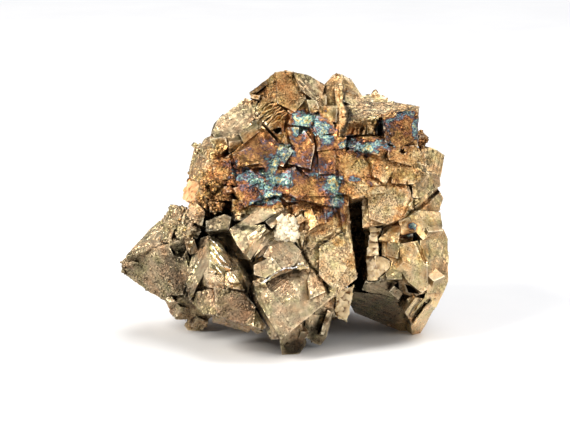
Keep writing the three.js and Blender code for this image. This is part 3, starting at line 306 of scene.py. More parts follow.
# Faces with streaks along their growth steps: right, up, reach right, reach up, the angle of the
# streaks above the level, and their strength.
STREAKS = [
    (-17.4, 17.5, 2.4, 6.0, 66, 0.3),
    (-12.0, 17.5, 3.4, 4.6, -52, 1.0),
    (-11.0, 12.6, 3.0, 2.4, 20, 0.6),
    (-1.0, 12.8, 3.4, 3.2, 38, 1.0),
    (-2.6, 6.6, 4.6, 5.0, -52, 0.10),
    (-5.4, 40.6, 5.0, 3.4, 48, 0.15),
    (-10.0, 46.4, 5.0, 4.6, 46, 0.12),
    (-2.6, 24.6, 4.6, 2.4, 38, 0.6),
    (27.0, 8.2, 3.4, 3.8, 58, 0.6),
    (29.6, 38.2, 3.0, 4.2, 76, 0.25),
    (19.0, 10.0, 6.0, 3.8, -24, 0.8),
    (18.6, 48.8, 7.0, 2.0, 28, 0.6),
    (5.0, 52.6, 3.2, 3.4, -42, 0.3),
    (-26.0, 22.5, 5.0, 3.0, 38, 0.2),
]

# Thin dark cracks: half width, depth, and the places they run through.
CRACKS = [
    (0.12, 0.12, [(10.4, 45.4), (10.3, 41.0), (10.4, 36.0), (10.9, 32.2)]),
    (0.25, 0.8, [(25.2, 28.2), (27.6, 29.6), (31.4, 33.6)]),
    (0.25, 0.7, [(16.2, 40.6), (17.4, 35.2), (20.0, 33.6)]),
    (0.22, 0.6, [(0.6, 48.2), (0.2, 45.0), (0.8, 42.6), (1.6, 41.2)]),
    (0.22, 0.6, [(6.0, 48.0), (5.2, 45.4), (6.0, 43.6), (6.2, 40.6)]),
    (0.22, 0.5, [(-1.2, 37.2), (2.0, 37.4), (4.4, 35.4)]),
    (0.25, 0.6, [(23.0, 23.6), (26.4, 22.4), (28.4, 18.2)]),
    (0.20, 0.5, [(24.6, 34.4), (25.2, 31.4), (23.4, 27.4)]),
    (0.22, 0.5, [(2.2, 24.2), (3.4, 20.6), (8.8, 12.6)]),
]

# The deep gap in the front, as seen: its sides, its bottom and top, and the depth past which its
# walls are darkened with painted shade.
GAP = {"left": 12.6, "right": 16.4, "bottom": 11.5, "top": 31.6, "depth": -8.6}


def front_share(places):
    """1 on the side that is seen, 0 on the far side."""
    return 1 - ease((places[:, 2] - 4) / 8)


def zone_look(points, ragged, front):
    """Film, grain, brightness and redness, the brightness holding painted light and shade: the zones
    blended by bell curves around their middles, and slow random values on the far side. One column
    for each."""
    total = np.full(len(points), 0.02)
    blend = np.outer(total, [0.08, 0.5, 0.8, 0.2])
    for right, up, reach_right, reach_up, *look in ZONES.values():
        distance = ((ragged[:, 0] - right) / reach_right) ** 2 + ((ragged[:, 1] - up) / reach_up) ** 2
        weight = np.exp(-1.6 * distance)
        total += weight
        blend += weight[:, None] * look
    look = blend / total[:, None]
    slow = noise(points, 9, 13)
    even = np.full(len(points), 0.2)
    far = np.column_stack([0.14 + 0.2 * slow, 0.55 + 0.3 * noise(points, 7, 14), 0.9 + 0.12 * slow, even])
    return far + (look - far) * front[:, None]


def streak_of(places, front):
    """How strongly each point is streaked, and its distance across the streaks in millimetres: that
    of the streaked face whose middle is nearest."""
    strength = np.zeros(len(places))
    across = np.zeros(len(places))
    for right, up, reach_right, reach_up, angle, strong in STREAKS:
        distance = np.hypot((places[:, 0] - right) / reach_right, (places[:, 1] - up) / reach_up)
        share = strong * ease(2.2 * (1.15 - distance))
        turn = math.radians(angle)
        way = places[:, 1] * math.cos(turn) - places[:, 0] * math.sin(turn)
        across = np.where(share > strength, way, across)
        strength = np.maximum(strength, share)
    return strength * front, across


def finish_and_painted_light_of(points):
    """The finish at each point, as the traits that the pyrite material reads. The brightness trait holds
    painted light and shade as well as the surface's own tone.
    """
    places = seen(points)
    front = front_share(places)
    ragged = places[:, :2] + 0.9 * noise(points, 2.6, 11, 3)[:, :2] + 0.4 * noise(points, 0.9, 12, 3)[:, :2]
    film, grain, tone_and_painted_light, red = zone_look(points, ragged, front).T
    film = film + np.clip(film, 0.06, 0.3) * 0.5 * noise(points, 1.4, 15)
    patchy = 0.45 * noise(points, 0.9, 16)
    for right, up, reach_right, reach_up, value in SPOTS:
        distance = np.hypot((ragged[:, 0] - right) / reach_right, (ragged[:, 1] - up) / reach_up)
        film += (value - film) * ease(1.4 - 1.1 * distance + patchy) * front
    for half_width, value, line in BANDS:
        distance = along_line(ragged, line) / half_width
        film += (value - film) * ease(1.4 - 1.1 * distance + patchy) * front
    mottle = noise(points, 1.1, 17, 2)
    iridescent = ease((film - 0.42) / 0.2)
    film += 0.16 * iridescent * mottle[:, 0]
    tone_and_painted_light = tone_and_painted_light * (1 + 0.35 * iridescent * mottle[:, 1])
    # Painted shade on the walls of the deep gap.
    painted_gap_shade = ease((places[:, 0] - GAP["left"]) / 0.6) * ease((GAP["right"] - places[:, 0]) / 0.6)
    painted_gap_shade *= ease((places[:, 1] - GAP["bottom"]) / 2) * ease((GAP["top"] - places[:, 1]) / 1.5)
    painted_gap_shade *= ease((places[:, 2] - GAP["depth"]) / 2.5)
    # Painted shade and painted highlights along the listed lines.
    for half_width, left, line in SHADE_AND_HIGHLIGHT_LINES:
        share = ease(1.6 - 0.9 * along_line(ragged, line) / half_width) * front
        tone_and_painted_light = tone_and_painted_light * (1 - (1 - left) * share)
    streaked, across = streak_of(places, front)
    return {
        "film": np.clip(film, 0, 1),
        "grain": np.clip(grain, 0, 1),
        "tone_and_painted_light": tone_and_painted_light * (1 - 0.85 * painted_gap_shade),
        "red": red,
        "streaked": streaked,
        "across": across,
    }


# Meshes.


def solid_mesh(name):
    """A CAD node's points in millimetres and its triangles, with the points that coincide merged."""
    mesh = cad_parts[name].data
    points = np.zeros(3 * len(mesh.vertices))
    mesh.vertices.foreach_get("co", points)
    mesh.calc_loop_triangles()
    faces = np.zeros(3 * len(mesh.loop_triangles), int)
    mesh.loop_triangles.foreach_get("vertices", faces)
    points = points.reshape(-1, 3) / MM
    _, first, same = np.unique(np.round(points, 3), axis=0, return_index=True, return_inverse=True)
    faces = same.reshape(-1)[faces.reshape(-1, 3)]
    whole = (faces != np.roll(faces, 1, axis=1)).all(axis=1)
    return points[first], faces[whole]


def refine(points, faces, longest):
    """Halves the longest edge of every triangle until no edge is longer than longest(middle). A
    triangle with one, two or three halved edges becomes two, three or four, so no gap opens."""
    while True:
        ends = np.sort(np.stack([faces, np.roll(faces, -1, axis=1)], axis=2).reshape(-1, 2), axis=1)
        edges, index = np.unique(ends[:, 0] * len(points) + ends[:, 1], return_inverse=True)
        first, last = edges // len(points), edges % len(points)
        middle = (points[first] + points[last]) / 2
        excess = np.linalg.norm(points[first] - points[last], axis=1) / longest(middle)
        index = index.reshape(-1, 3)
        worst = index[np.arange(len(faces)), excess[index].argmax(axis=1)]
        split = np.zeros(len(edges), bool)
        split[worst[excess[worst] > 1]] = True
        if not split.any():
            return points, faces
        added = np.full(len(edges), -1)
        added[split] = len(points) + np.arange(split.sum())
        points = np.vstack([points, middle[split]])
        halves = added[index]
        turn = np.where(halves[:, 0] >= 0, 0, np.where(halves[:, 1] >= 0, 1, 2))
        order = (turn[:, None] + np.arange(3)) % 3
        a, b, c = np.take_along_axis(faces, order, axis=1).T
        ab, bc, ca = np.take_along_axis(halves, order, axis=1).T
        keep = ab < 0
        one = (ab >= 0) & (bc < 0) & (ca < 0)
        two = (ab >= 0) & (bc >= 0) & (ca < 0)
        other = (ab >= 0) & (bc < 0) & (ca >= 0)
        three = (ab >= 0) & (bc >= 0) & (ca >= 0)
        faces = np.vstack(
            [
                np.column_stack([a, b, c])[keep],
                np.column_stack([a, ab, c])[one],
                np.column_stack([ab, b, c])[one],
                np.column_stack([ab, b, bc])[two],
                np.column_stack([a, ab, c])[two],
                np.column_stack([ab, bc, c])[two],
                np.column_stack([a, ab, ca])[other],
                np.column_stack([ab, b, c])[other],
                np.column_stack([ca, ab, c])[other],
                np.column_stack([a, ab, ca])[three],
                np.column_stack([ab, b, bc])[three],
                np.column_stack([ca, bc, c])[three],
                np.column_stack([ab, bc, ca])[three],
            ]
        )


def face_normals(points, faces):
    """Each triangle's normal, twice its area long."""
    a, b, c = (points[faces[:, i]] for i in range(3))
    return np.cross(b - a, c - a)


def point_normals(points, faces):
    """The mean normal at each point, of length 1."""
    across = np.repeat(face_normals(points, faces), 3, axis=0)
    total = np.column_stack([np.bincount(faces.ravel(), across[:, i], len(points)) for i in range(3)])
    return total / np.maximum(np.linalg.norm(total, axis=1), 1e-12)[:, None]


def neighbour_means(points, faces):
    """A function that gives the mean of each point's neighbours along the edges."""
    following = np.roll(faces, -1, axis=1)
    starts = np.concatenate([faces, following]).ravel()
    others = np.concatenate([following, faces]).ravel()
    count = np.bincount(starts, minlength=len(points))

    def means(places):
        sums = [np.bincount(starts, places[others, i], len(points)) for i in range(3)]
        return np.column_stack(sums) / count[:, None]

    return means


def hollowness(points, faces, rounds=6):
    """How far each point lies below the smoothed surface, in millimetres: above 0 in creases, below
    0 on edges. The surface is smoothed by moving each point to the mean of its neighbours."""
    means = neighbour_means(points, faces)
    smooth = points
    for _ in range(rounds):
        smooth = means(smooth)
    return ((smooth - points) * point_normals(points, faces)).sum(axis=1)


def fill_creases(points, faces, share, rounds=30):
    """Raises each point that lies below the mean of its neighbours toward that mean by a share of the
    way, along the normal, again and again. Narrow gaps close from the bottom; edges stay."""
    means = neighbour_means(points, faces)
    for _ in range(rounds):
        normal = point_normals(points, faces)
        rise = ((means(points) - points) * normal).sum(axis=1)
        points = points + (share * np.maximum(rise, 0))[:, None] * normal
    return points


def enclosure(points, faces, reach=2.2, cell=0.7):
    """How closely other walls stand before each point: the surface's area in every cell of a cubic
    lattice, spread over the neighbouring cells by repeated means, and read at a distance out from
    the point along its normal."""
    normal = point_normals(points, faces)
    area = np.linalg.norm(face_normals(points, faces), axis=1) / 2
    low = points.min(axis=0) - 6 * cell
    shape = np.ceil((points.max(axis=0) + 6 * cell - low) / cell).astype(int)
    places = ((points[faces].mean(axis=1) - low) / cell).astype(int)
    filled = np.zeros(shape)
    np.add.at(filled, tuple(places.T), area / cell**2)
    for _ in range(5):
        for axis in range(3):
            filled = (np.roll(filled, 1, axis) + filled + np.roll(filled, -1, axis)) / 3
    i, j, k = np.clip(((points + reach * normal - low) / cell).astype(int), 0, shape - 1).T
    return filled[i, j, k]


def make_piece(name, points, faces, material, traits, sharp_angle=20):
    """Writes a mesh in metres with one number per point for each trait, and lets it ride."""
    mesh = bpy.data.meshes.new(name)
    mesh.vertices.add(len(points))
    mesh.vertices.foreach_set("co", (points * MM).ravel())
    mesh.loops.add(faces.size)
    mesh.loops.foreach_set("vertex_index", faces.ravel().astype(np.int32))
    mesh.polygons.add(len(faces))
    mesh.polygons.foreach_set("loop_start", np.arange(0, faces.size, faces.shape[1], dtype=np.int32))
    mesh.update(calc_edges=True)
    for trait, values in traits.items():
        mesh.attributes.new(trait, "FLOAT", "POINT").data.foreach_set("value", values.astype(np.float32))
    if sharp_angle:
        mesh.shade_smooth()
        mesh.set_sharp_from_angle(angle=math.radians(sharp_angle))
    mesh.materials.append(material)
    piece = bpy.data.objects.new(name, mesh)
    bpy.context.scene.collection.objects.link(piece)
    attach(piece, "root")
    return piece


# Materials.


def linear(*parts):
    """A colour given by its parts from 0 to 255, as the linear values that shaders take."""
    shares = np.array(parts) / 255
    return [*np.where(shares <= 0.04045, shares / 12.92, ((shares + 0.055) / 1.055) ** 2.4), 1]


class Shader:
    """A material's node tree, with short ways to add and join nodes."""

    def __init__(self, name):
        self.material = bpy.data.materials.new(name)
        self.material.use_nodes = True
        self.tree = self.material.node_tree
        self.surface = self.tree.nodes["Principled BSDF"]
        self.place = self.add("ShaderNodeTexCoord").outputs["Object"]

    def add(self, kind, inputs=(), **settings):
        """A new node with these settings. Each input is a number, a colour or another node's output."""
        node = self.tree.nodes.new(kind)
        for setting, value in settings.items():
            setattr(node, setting, value)
        for socket, value in dict(inputs).items():
            self.set(node, socket, value)
        return node

    def set(self, node, socket, value):
        if isinstance(value, bpy.types.NodeSocket):
            self.tree.links.new(value, node.inputs[socket])
        else:
            node.inputs[socket].default_value = value

    def math(self, operation, first, second=0.0):
        return self.add("ShaderNodeMath", {0: first, 1: second}, operation=operation).outputs[0]

    def trait(self, name):
        return self.add("ShaderNodeAttribute", attribute_name=name).outputs["Fac"]

    def noise(self, size, detail=4.0, roughness=0.6):
        """Cloudy noise from about 0.3 to 0.7, with lumps of that size in millimetres."""
        inputs = {"Vector": self.place, "Scale": 1 / (size * MM), "Detail": detail, "Roughness": roughness}
        return self.add("ShaderNodeTexNoise", inputs).outputs["Fac"]

    def tilted_grains(self, size, steepness):
        """Heights of flat grains of that size, each tilted its own way: the way from the grain's
        seed point, times a random vector."""
        inputs = {"Vector": self.place, "Scale": 1 / (size * MM)}
        grain = self.add("ShaderNodeTexVoronoi", inputs)
        scaled = self.add("ShaderNodeVectorMath", {0: self.place, 3: 1 / (size * MM)}, operation="SCALE")
        inputs = {0: scaled.outputs[0], 1: grain.outputs["Position"]}
        way = self.add("ShaderNodeVectorMath", inputs, operation="SUBTRACT")
        inputs = {0: grain.outputs["Color"], 1: (0.5, 0.5, 0.5)}
        tilt = self.add("ShaderNodeVectorMath", inputs, operation="SUBTRACT")
        inputs = {0: way.outputs[0], 1: tilt.outputs[0]}
        height = self.add("ShaderNodeVectorMath", inputs, operation="DOT_PRODUCT")
        return self.math("MULTIPLY", height.outputs["Value"], steepness * size * MM)

    def ramp(self, value, stops):
        """Colours by a value: each stop is a position and a colour from 0 to 255."""
        node = self.add("ShaderNodeValToRGB", {"Fac": value})
        elements = node.color_ramp.elements
        while len(elements) < len(stops):
            elements.new(0.5)
        for element, (position, colour) in zip(elements, stops):
            element.position = position
            element.color = linear(*colour)
        return node.outputs["Color"]

    def mix(self, share, first, second, blend="MIX"):
        """Two colours mixed by a share, both given as colours or outputs."""
        inputs = {"Factor": share, 6: first, 7: second}
        node = self.add("ShaderNodeMix", inputs, data_type="RGBA", blend_type=blend)
        return node.outputs[2]

    def bump(self, height, normal=None, distance=1.0):
        inputs = {"Height": height, "Distance": distance, "Strength": 1.0}
        if normal is not None:
            inputs["Normal"] = normal
        return self.add("ShaderNodeBump", inputs).outputs["Normal"]


# The colours of bare pyrite and of the tarnish film on it as it thickens.
FILM_COLOURS = [
    (0.00, (218, 200, 168)),
    (0.10, (228, 202, 158)),
    (0.20, (228, 188, 130)),
    (0.30, (208, 158, 100)),
    (0.40, (176, 126, 84)),
    (0.48, (150, 108, 86)),
    (0.55, (126, 102, 106)),
    (0.62, (108, 116, 138)),
    (0.70, (112, 150, 164)),
    (0.78, (150, 190, 186)),
    (0.86, (198, 216, 190)),
    (0.93, (230, 218, 156)),
    (1.00, (232, 192, 130)),
]


def pyrite_material(name, fine_relief, roughness):
    """Metal under a tarnish film, whose thickness gives the colour and is frayed by noise. Bare faces
    drift between green-grey and rose. Pits are dark, creases are darkened with painted shade, edges
    get a painted highlight, the colour is multiplied by a brightness that holds painted light and
    shade, and plate colours go toward silvery white as a painted highlight. Flat tilted grains, fine
    grit and streaks break up the shine."""
    shader = Shader(name)
    grain = shader.trait("grain")
    film = shader.trait("film")
    fray = shader.math("MULTIPLY", shader.math("SUBTRACT", shader.noise(0.45, 5), 0.5), 1.4)
    fray = shader.math("MULTIPLY", fray, shader.math("ADD", film, 0.08))
    colour = shader.ramp(shader.math("ADD", film, fray), FILM_COLOURS)
    reddened = shader.mix(1.0, colour, linear(222, 178, 158), "MULTIPLY")
    colour = shader.mix(shader.trait("red"), colour, reddened)
    drift_colours = [(0.34, (230, 237, 220)), (0.5, (250, 247, 242)), (0.68, (255, 234, 222))]
    drift = shader.ramp(shader.noise(3.2, 2), drift_colours)
    colour = shader.mix(1.0, colour, drift, "MULTIPLY")
    fine_pits = shader.ramp(shader.noise(0.27, 2, 0.5), [(0.38, (84, 72, 58)), (0.47, (255, 255, 255))])
    patches = shader.ramp(shader.noise(2.6, 3), [(0.42, (110, 110, 110)), (0.56, (255, 255, 255))])
    pitted = shader.math("MULTIPLY", shader.math("ADD", shader.math("MULTIPLY", grain, 0.2), 0.6), patches)
    colour = shader.mix(pitted, colour, shader.mix(1.0, colour, fine_pits, "MULTIPLY"))
    pits = shader.ramp(shader.noise(0.36, 4, 0.6), [(0.41, (44, 34, 26)), (0.50, (255, 255, 255))])
    deep_pitted = shader.math("MULTIPLY", grain, patches)
    colour = shader.mix(deep_pitted, colour, shader.mix(1.0, colour, pits, "MULTIPLY"))
    # Painted highlight: the plates' colour goes toward silvery white by this trait.
    colour = shader.mix(shader.trait("painted_silver_highlight"), colour, linear(236, 232, 222))
    # Painted light and shade: the colour is multiplied by the brightness trait.
    tone_and_painted_light = shader.add("ShaderNodeCombineColor", {i: shader.trait("tone_and_painted_light") for i in range(3)})
    colour = shader.mix(1.0, colour, tone_and_painted_light.outputs[0], "MULTIPLY")
    # Painted shade in creases: the colour darkens where the surface lies below its smoothed self.
    crease_shade = shader.ramp(shader.trait("hollow"), [(0.50, (255, 255, 255)), (0.80, (92, 78, 64))])
    colour = shader.mix(1.0, colour, crease_shade, "MULTIPLY")
    # Painted highlight along edges: the colour goes toward pale gold where the surface stands above its
    # smoothed self.
    edge_highlight = shader.ramp(shader.trait("hollow"), [(0.26, (255, 255, 255)), (0.42, (0, 0, 0))])
    colour = shader.mix(shader.math("MULTIPLY", edge_highlight, 0.32), colour, linear(250, 236, 204))
    streak_inputs = {"W": shader.trait("across"), "Scale": 1.7, "Detail": 3.0, "Roughness": 0.6}
    streak = shader.add("ShaderNodeTexNoise", streak_inputs, noise_dimensions="1D").outputs["Fac"]
    streak = shader.math("MULTIPLY", streak, shader.trait("streaked"))
    rough = shader.math("MULTIPLY", shader.math("SUBTRACT", shader.noise(1.2), 0.5), 0.5)
    glossy = shader.math("MULTIPLY", shader.trait("streaked"), -0.16)
    rough = shader.math("ADD", glossy, rough)
    shader.set(shader.surface, "Base Color", colour)
    shader.set(shader.surface, "Metallic", 0.95)
    shader.set(shader.surface, "Roughness", shader.math("ADD", rough, roughness))
    height = shader.math("MULTIPLY", shader.tilted_grains(0.6, 0.45), shader.math("ADD", grain, 0.03))
    grit = shader.math("MULTIPLY", shader.noise(0.3, 3, 0.6), 0.16 * MM)
    height = shader.math("ADD", height, shader.math("MULTIPLY", grit, shader.math("ADD", grain, 0.04)))
    lumps = shader.math("MULTIPLY", shader.noise(1.5, 2), shader.math("ADD", grain, 0.08))
    height = shader.math("ADD", height, shader.math("MULTIPLY", lumps, 0.16 * MM))
    height = shader.math("ADD", height, shader.math("MULTIPLY", streak, 0.4 * MM))
    height = shader.math("MULTIPLY", height, fine_relief)
    shader.set(shader.surface, "Normal", shader.bump(height))
    return shader.material


def quartz_material(name, colours, stain):
    """Milky quartz: cloudy colours from dull to clear white, brown stain in the creases, and light
    that goes a little way in."""
    shader = Shader(name)
    cloud = shader.noise(2.2, 5)
    colour = shader.ramp(cloud, [(0.3, colours[0]), (0.52, colours[1]), (0.7, colours[2])])
    crack = shader.ramp(shader.trait("hollow"), [(0.46, (255, 255, 255)), (0.62, stain)])
    colour = shader.mix(1.0, colour, crack, "MULTIPLY")
    shader.set(shader.surface, "Base Color", colour)
    shader.set(shader.surface, "Roughness", shader.math("ADD", shader.math("MULTIPLY", cloud, 0.3), 0.18))
    shader.set(shader.surface, "Subsurface Weight", 0.35)
    shader.set(shader.surface, "Subsurface Radius", (1.0, 0.8, 0.6))
    shader.set(shader.surface, "Subsurface Scale", 0.8 * MM)
    grit = shader.math("MULTIPLY", shader.noise(0.4), 0.06 * MM)
    height = shader.math("ADD", shader.tilted_grains(0.8, 0.25), grit)
    shader.set(shader.surface, "Normal", shader.bump(height))
    return shader.material


# The pieces.


def relief(points, faces, grain):
    """How far each point of the pyrite moves: a slow wobble that bends the edges, broken flat grains
    of two sizes where the surface is granular, and the cracks, sunk away from the viewer."""
    normal = point_normals(points, faces)
    wobble = 0.12 * noise(points, 5, 21, 3) + (0.02 + 0.07 * grain[:, None]) * noise(points, 1.7, 22, 3)
    height = np.zeros(len(points))
    for size, steep, seed in ((1.8, 0.14, 23), (0.9, 0.30, 24)):
        offset, trait, _ = grains(points, size, seed)
        tilt = (offset * trait[:, :3]).sum(axis=1) + 0.25 * trait[:, 3]
        height += steep * size * tilt * (0.02 + 0.98 * grain)
    moved = points + wobble + 0.6 * height[:, None] * normal
    places = seen(points)
    front = front_share(places)
    ragged = places[:, :2] + 0.25 * noise(points, 1.2, 25, 3)[:, :2]
    for half_width, depth, line in CRACKS:
        sunk = depth * ease(1 - along_line(ragged, line) / (2 * half_width)) * front
        moved += sunk[:, None] * AWAY
    moved[:, 2] = np.where(points[:, 2] < 0.02, 0, np.maximum(moved[:, 2], 0.02))
    return moved


def hollow_trait(points, faces):
    """The hollowness as a trait from 0 to 1, with 0.5 on an even surface."""
    return np.clip(0.5 + hollowness(points, faces) / 0.9, 0, 1)


def pyrite_skin(material):
    """The pyrite's solid with its triangles made small and moved by the relief."""
    points, faces = solid_mesh("pyrite_cluster")

    def longest(middle):
        share = ease((middle[:, 1] + 4) / 12)
        return NEAR_EDGE + (FAR_EDGE - NEAR_EDGE) * share

    points, faces = refine(points, faces, longest)
    places = seen(points)
    together = np.zeros(len(points))
    for right, up, reach_right, reach_up in GROWN_TOGETHER:
        distance = np.hypot((places[:, 0] - right) / reach_right, (places[:, 1] - up) / reach_up)
        together = np.maximum(together, ease(5 - 4.5 * distance) * front_share(places))
    points = fill_creases(points, faces, together)
    traits = finish_and_painted_light_of(points)
    moved = relief(points, faces, traits["grain"])
    enclosed = enclosure(moved, faces)
    # Painted shade: the brightness is lowered where other walls stand close before the surface, less where
    # the crystals have grown together.
    painted_shade = 1 - (0.75 - 0.4 * together) * ease((enclosed - 0.13) / 0.22)
    traits["tone_and_painted_light"] = traits["tone_and_painted_light"] * painted_shade
    hollow = hollow_trait(moved, faces)
    # Less painted shade in the creases where the crystals have grown together.
    traits["hollow"] = hollow - 0.6 * together * np.maximum(hollow - 0.5, 0)
    skin = make_piece("pyrite_skin", moved, faces, material, traits)
    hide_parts("pyrite_cluster")
    return moved, faces, traits["grain"], painted_shade


CUBE_CORNERS = np.array(list(np.ndindex(2, 2, 2))) - 0.5
CUBE_FACES = np.array(
    [[0, 1, 3, 2], [4, 6, 7, 5], [0, 4, 5, 1], [2, 3, 7, 6], [0, 2, 6, 4], [1, 5, 7, 3]]
)


def turns(directions, spin, lean):
    """Rotation matrices that take Z to each direction, leaned by a random vector, with a spin."""
    up = directions + lean
    up /= np.linalg.norm(up, axis=1)[:, None]
    side = np.cross(up, np.where(np.abs(up[:, 2:]) < 0.9, [[0, 0, 1]], [[1, 0, 0]]))
    side /= np.linalg.norm(side, axis=1)[:, None]
    third = np.cross(up, side)
    cos, sin = np.cos(spin)[:, None], np.sin(spin)[:, None]
    return np.stack([side * cos + third * sin, third * cos - side * sin, up], axis=2)


def druse(name, skin, material, count, sizes, share_of, seed, lean=0.5, sunk=0.2, mottled=0.035):
    """Thousands of small cubes half sunk in the skin. They are drawn at random over its triangles in
    proportion to area and to share_of(places, grain), and each is a cube leaned off the face, with
    its own three lengths, so its corners are centre + rotation x (corner x lengths). The film on
    each differs by random amounts of about mottled."""
    points, faces, grain, painted_shade = skin
    random = np.random.default_rng(seed)
    across = face_normals(points, faces)
    middles = points[faces].mean(axis=1)
    share = share_of(seen(middles), grain[faces].mean(axis=1))
    weight = np.linalg.norm(across, axis=1) * share * (middles[:, 2] > 0.8)
    chosen = random.choice(len(faces), count, p=weight / weight.sum())
    a, b = random.random((2, count))
    flip = a + b > 1
    a, b = np.where(flip, 1 - a, a), np.where(flip, 1 - b, b)
    corner = points[faces[chosen]]
    sides = corner[:, 1:] - corner[:, :1]
    place = corner[:, 0] + a[:, None] * sides[:, 0] + b[:, None] * sides[:, 1]
    normal = across[chosen] / np.linalg.norm(across[chosen], axis=1)[:, None]
    smallest, largest = sizes
    size = smallest * (largest / smallest) ** (random.random(count) ** 1.7)
    lengths = size[:, None] * random.uniform(0.65, 1.2, (count, 3))
    rotation = turns(normal, random.uniform(0, math.tau, count), random.normal(0, lean, (count, 3)))
    centre = place - normal * (sunk * size)[:, None]
    corners = np.einsum("nij,nkj->nki", rotation, CUBE_CORNERS * lengths[:, None, :]) + centre[:, None, :]
    made = corners.reshape(-1, 3)
    made[:, 2] = np.maximum(made[:, 2], 0.01)
    quads = (CUBE_FACES[None] + 8 * np.arange(count)[:, None, None]).reshape(-1, 4)
    traits = {key: np.repeat(value, 8) for key, value in finish_and_painted_light_of(centre).items()}
    traits["film"] = np.clip(traits["film"] + np.repeat(random.normal(0, mottled, count), 8), 0, 1)
    # Painted shade: each cube takes the painted shade of the triangle it sits on, times a random tone.
    light = random.uniform(0.85, 1.15, count) * painted_shade[faces[chosen, 0]]
    traits["tone_and_painted_light"] = traits["tone_and_painted_light"] * np.repeat(light, 8)
    traits["hollow"] = np.full(len(made), 0.46)
    return make_piece(name, made, quads, material, traits, sharp_angle=None)


def thin_plates(name, material, rows, seed, painted_light_gain, waviness=1.0, painted_silver_highlight=0.0):
    """Thin plates that reach back into the specimen. Each row gives both ends of the front edge of one
    plate (right, up and depth) and its thickness. A plate is a grid of points in two layers: along
    the edge, back by PLATE_REACH, and across by a sum of sines times the waviness. The brightness
    gain is multiplied into the plate's brightness as painted light. The last argument is how far its
    colour goes to a silvery white, a painted highlight."""
    random = np.random.default_rng(seed)
    along_count, back_count = 22, 5
    along, back = np.meshgrid(np.linspace(0, 1, along_count), np.linspace(0, 1, back_count), indexing="ij")
    points, faces = [], []
    grid = np.arange(along_count * back_count).reshape(along_count, back_count)
    ring = np.concatenate([grid[:, 0], grid[-1, 1:], grid[-2::-1, -1], grid[0, -2:0:-1]])
    top = np.stack([grid[:-1, :-1], grid[:-1, 1:], grid[1:, 1:], grid[1:, :-1]], axis=-1).reshape(-1, 4)
    rim = np.stack([ring, np.roll(ring, -1), np.roll(ring, -1) + grid.size, ring + grid.size], axis=-1)
    for first_end, last_end, thickness in rows:
        start, end = at(*first_end), at(*last_end)
        way = (end - start) / np.linalg.norm(end - start)
        across = np.cross(AWAY, way)
        phase = random.uniform(0, math.tau, 4)
        wave = 0.16 * np.sin(7 * along + phase[0]) + 0.08 * np.sin(17 * along + phase[1] + 2 * back)
        edge = 0.35 * np.sin(5 * along + phase[2]) + 0.15 * np.sin(23 * along + phase[3])
        wave, edge = waviness * wave, waviness * edge
        half = thickness * (0.5 + 0.18 * np.sin(11 * along + phase[1])) * np.minimum(1, 0.5 + 2 * back)
        middle = start + along[..., None] * (end - start) + wave[..., None] * across
        middle = middle + (back * PLATE_REACH + edge * (1 - back))[..., None] * AWAY
        upper = middle + half[..., None] * across
        lower = middle - half[..., None] * across
        first = 2 * grid.size * len(points)
        points.append(np.concatenate([upper.reshape(-1, 3), lower.reshape(-1, 3)]))
        faces.append(np.concatenate([top, top[:, ::-1] + grid.size, rim]) + first)
    points, faces = np.concatenate(points), np.concatenate(faces)
    traits = finish_and_painted_light_of(points)
    # Painted light: the plate's brightness is multiplied by the brightness gain.
    traits["tone_and_painted_light"] = traits["tone_and_painted_light"] * painted_light_gain
    traits["grain"] = traits["grain"] * 0.3
    traits["hollow"] = np.full(len(points), 0.44)
    # Painted highlight: how far the colour goes to a silvery white.
    traits["painted_silver_highlight"] = np.full(len(points), painted_silver_highlight)
    return make_piece(name, points, faces, material, traits, sharp_angle=40)


def quartz_lump(name, material, roughness, longest=0.35):
    """A quartz node with its triangles made small and its faces broken into flat tilted grains."""
    points, faces = refine(*solid_mesh(name), lambda middle: np.full(len(middle), longest))
    normal = point_normals(points, faces)
    offset, trait, _ = grains(points, 1.1, 31)
    height = 0.5 * (offset * trait[:, :3]).sum(axis=1) + 0.2 * trait[:, 3]
    height += 0.4 * noise(points, 0.8, 32)
    moved = points + 0.12 * noise(points, 1.6, 33, 3) + roughness * (height - 0.2)[:, None] * normal
    moved[:, 2] = np.maximum(moved[:, 2], 0.02)
    traits = {"hollow": hollow_trait(moved, faces)}
    piece = make_piece(name + "_surface", moved, faces, material, traits)
    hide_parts(name)
    return moved, faces, np.ones(len(moved)), np.ones(len(moved))


def floor():
    """A plain white floor that reaches past the view."""
    reach = FLOOR_REACH
    mesh = bpy.data.meshes.new("floor")
    corners = [(-reach, -reach, 0), (reach, -reach, 0), (reach, reach, 0), (-reach, reach, 0)]
    mesh.from_pydata(corners, [], [(0, 1, 2, 3)])
    shader = Shader("white floor")
    colour = shader.ramp(shader.noise(40), [(0.3, (218, 218, 219)), (0.7, (222, 222, 222))])
    shader.set(shader.surface, "Base Color", colour)
    shader.set(shader.surface, "Roughness", 0.9)
    shader.set(shader.surface, "Specular IOR Level", 0.1)
    mesh.materials.append(shader.material)
    piece = bpy.data.objects.new("floor", mesh)
    bpy.context.scene.collection.objects.link(piece)


def soft_light(name, place, width, height, power, colour=(255, 255, 255)):
    """A rectangular light, aimed at the middle of the specimen."""
    light = bpy.data.lights.new(name, "AREA")
    light.shape = "RECTANGLE"
    light.size = width
    light.size_y = height
    light.energy = power
    light.color = linear(*colour)[:3]
    lamp = bpy.data.objects.new(name, light)
    bpy.context.scene.collection.objects.link(lamp)
    way = Vector(place) - Vector((0, 0, AIM_HEIGHT))
    lamp.matrix_world = Matrix.Translation(place) @ way.to_track_quat("Z", "Y").to_matrix().to_4x4()


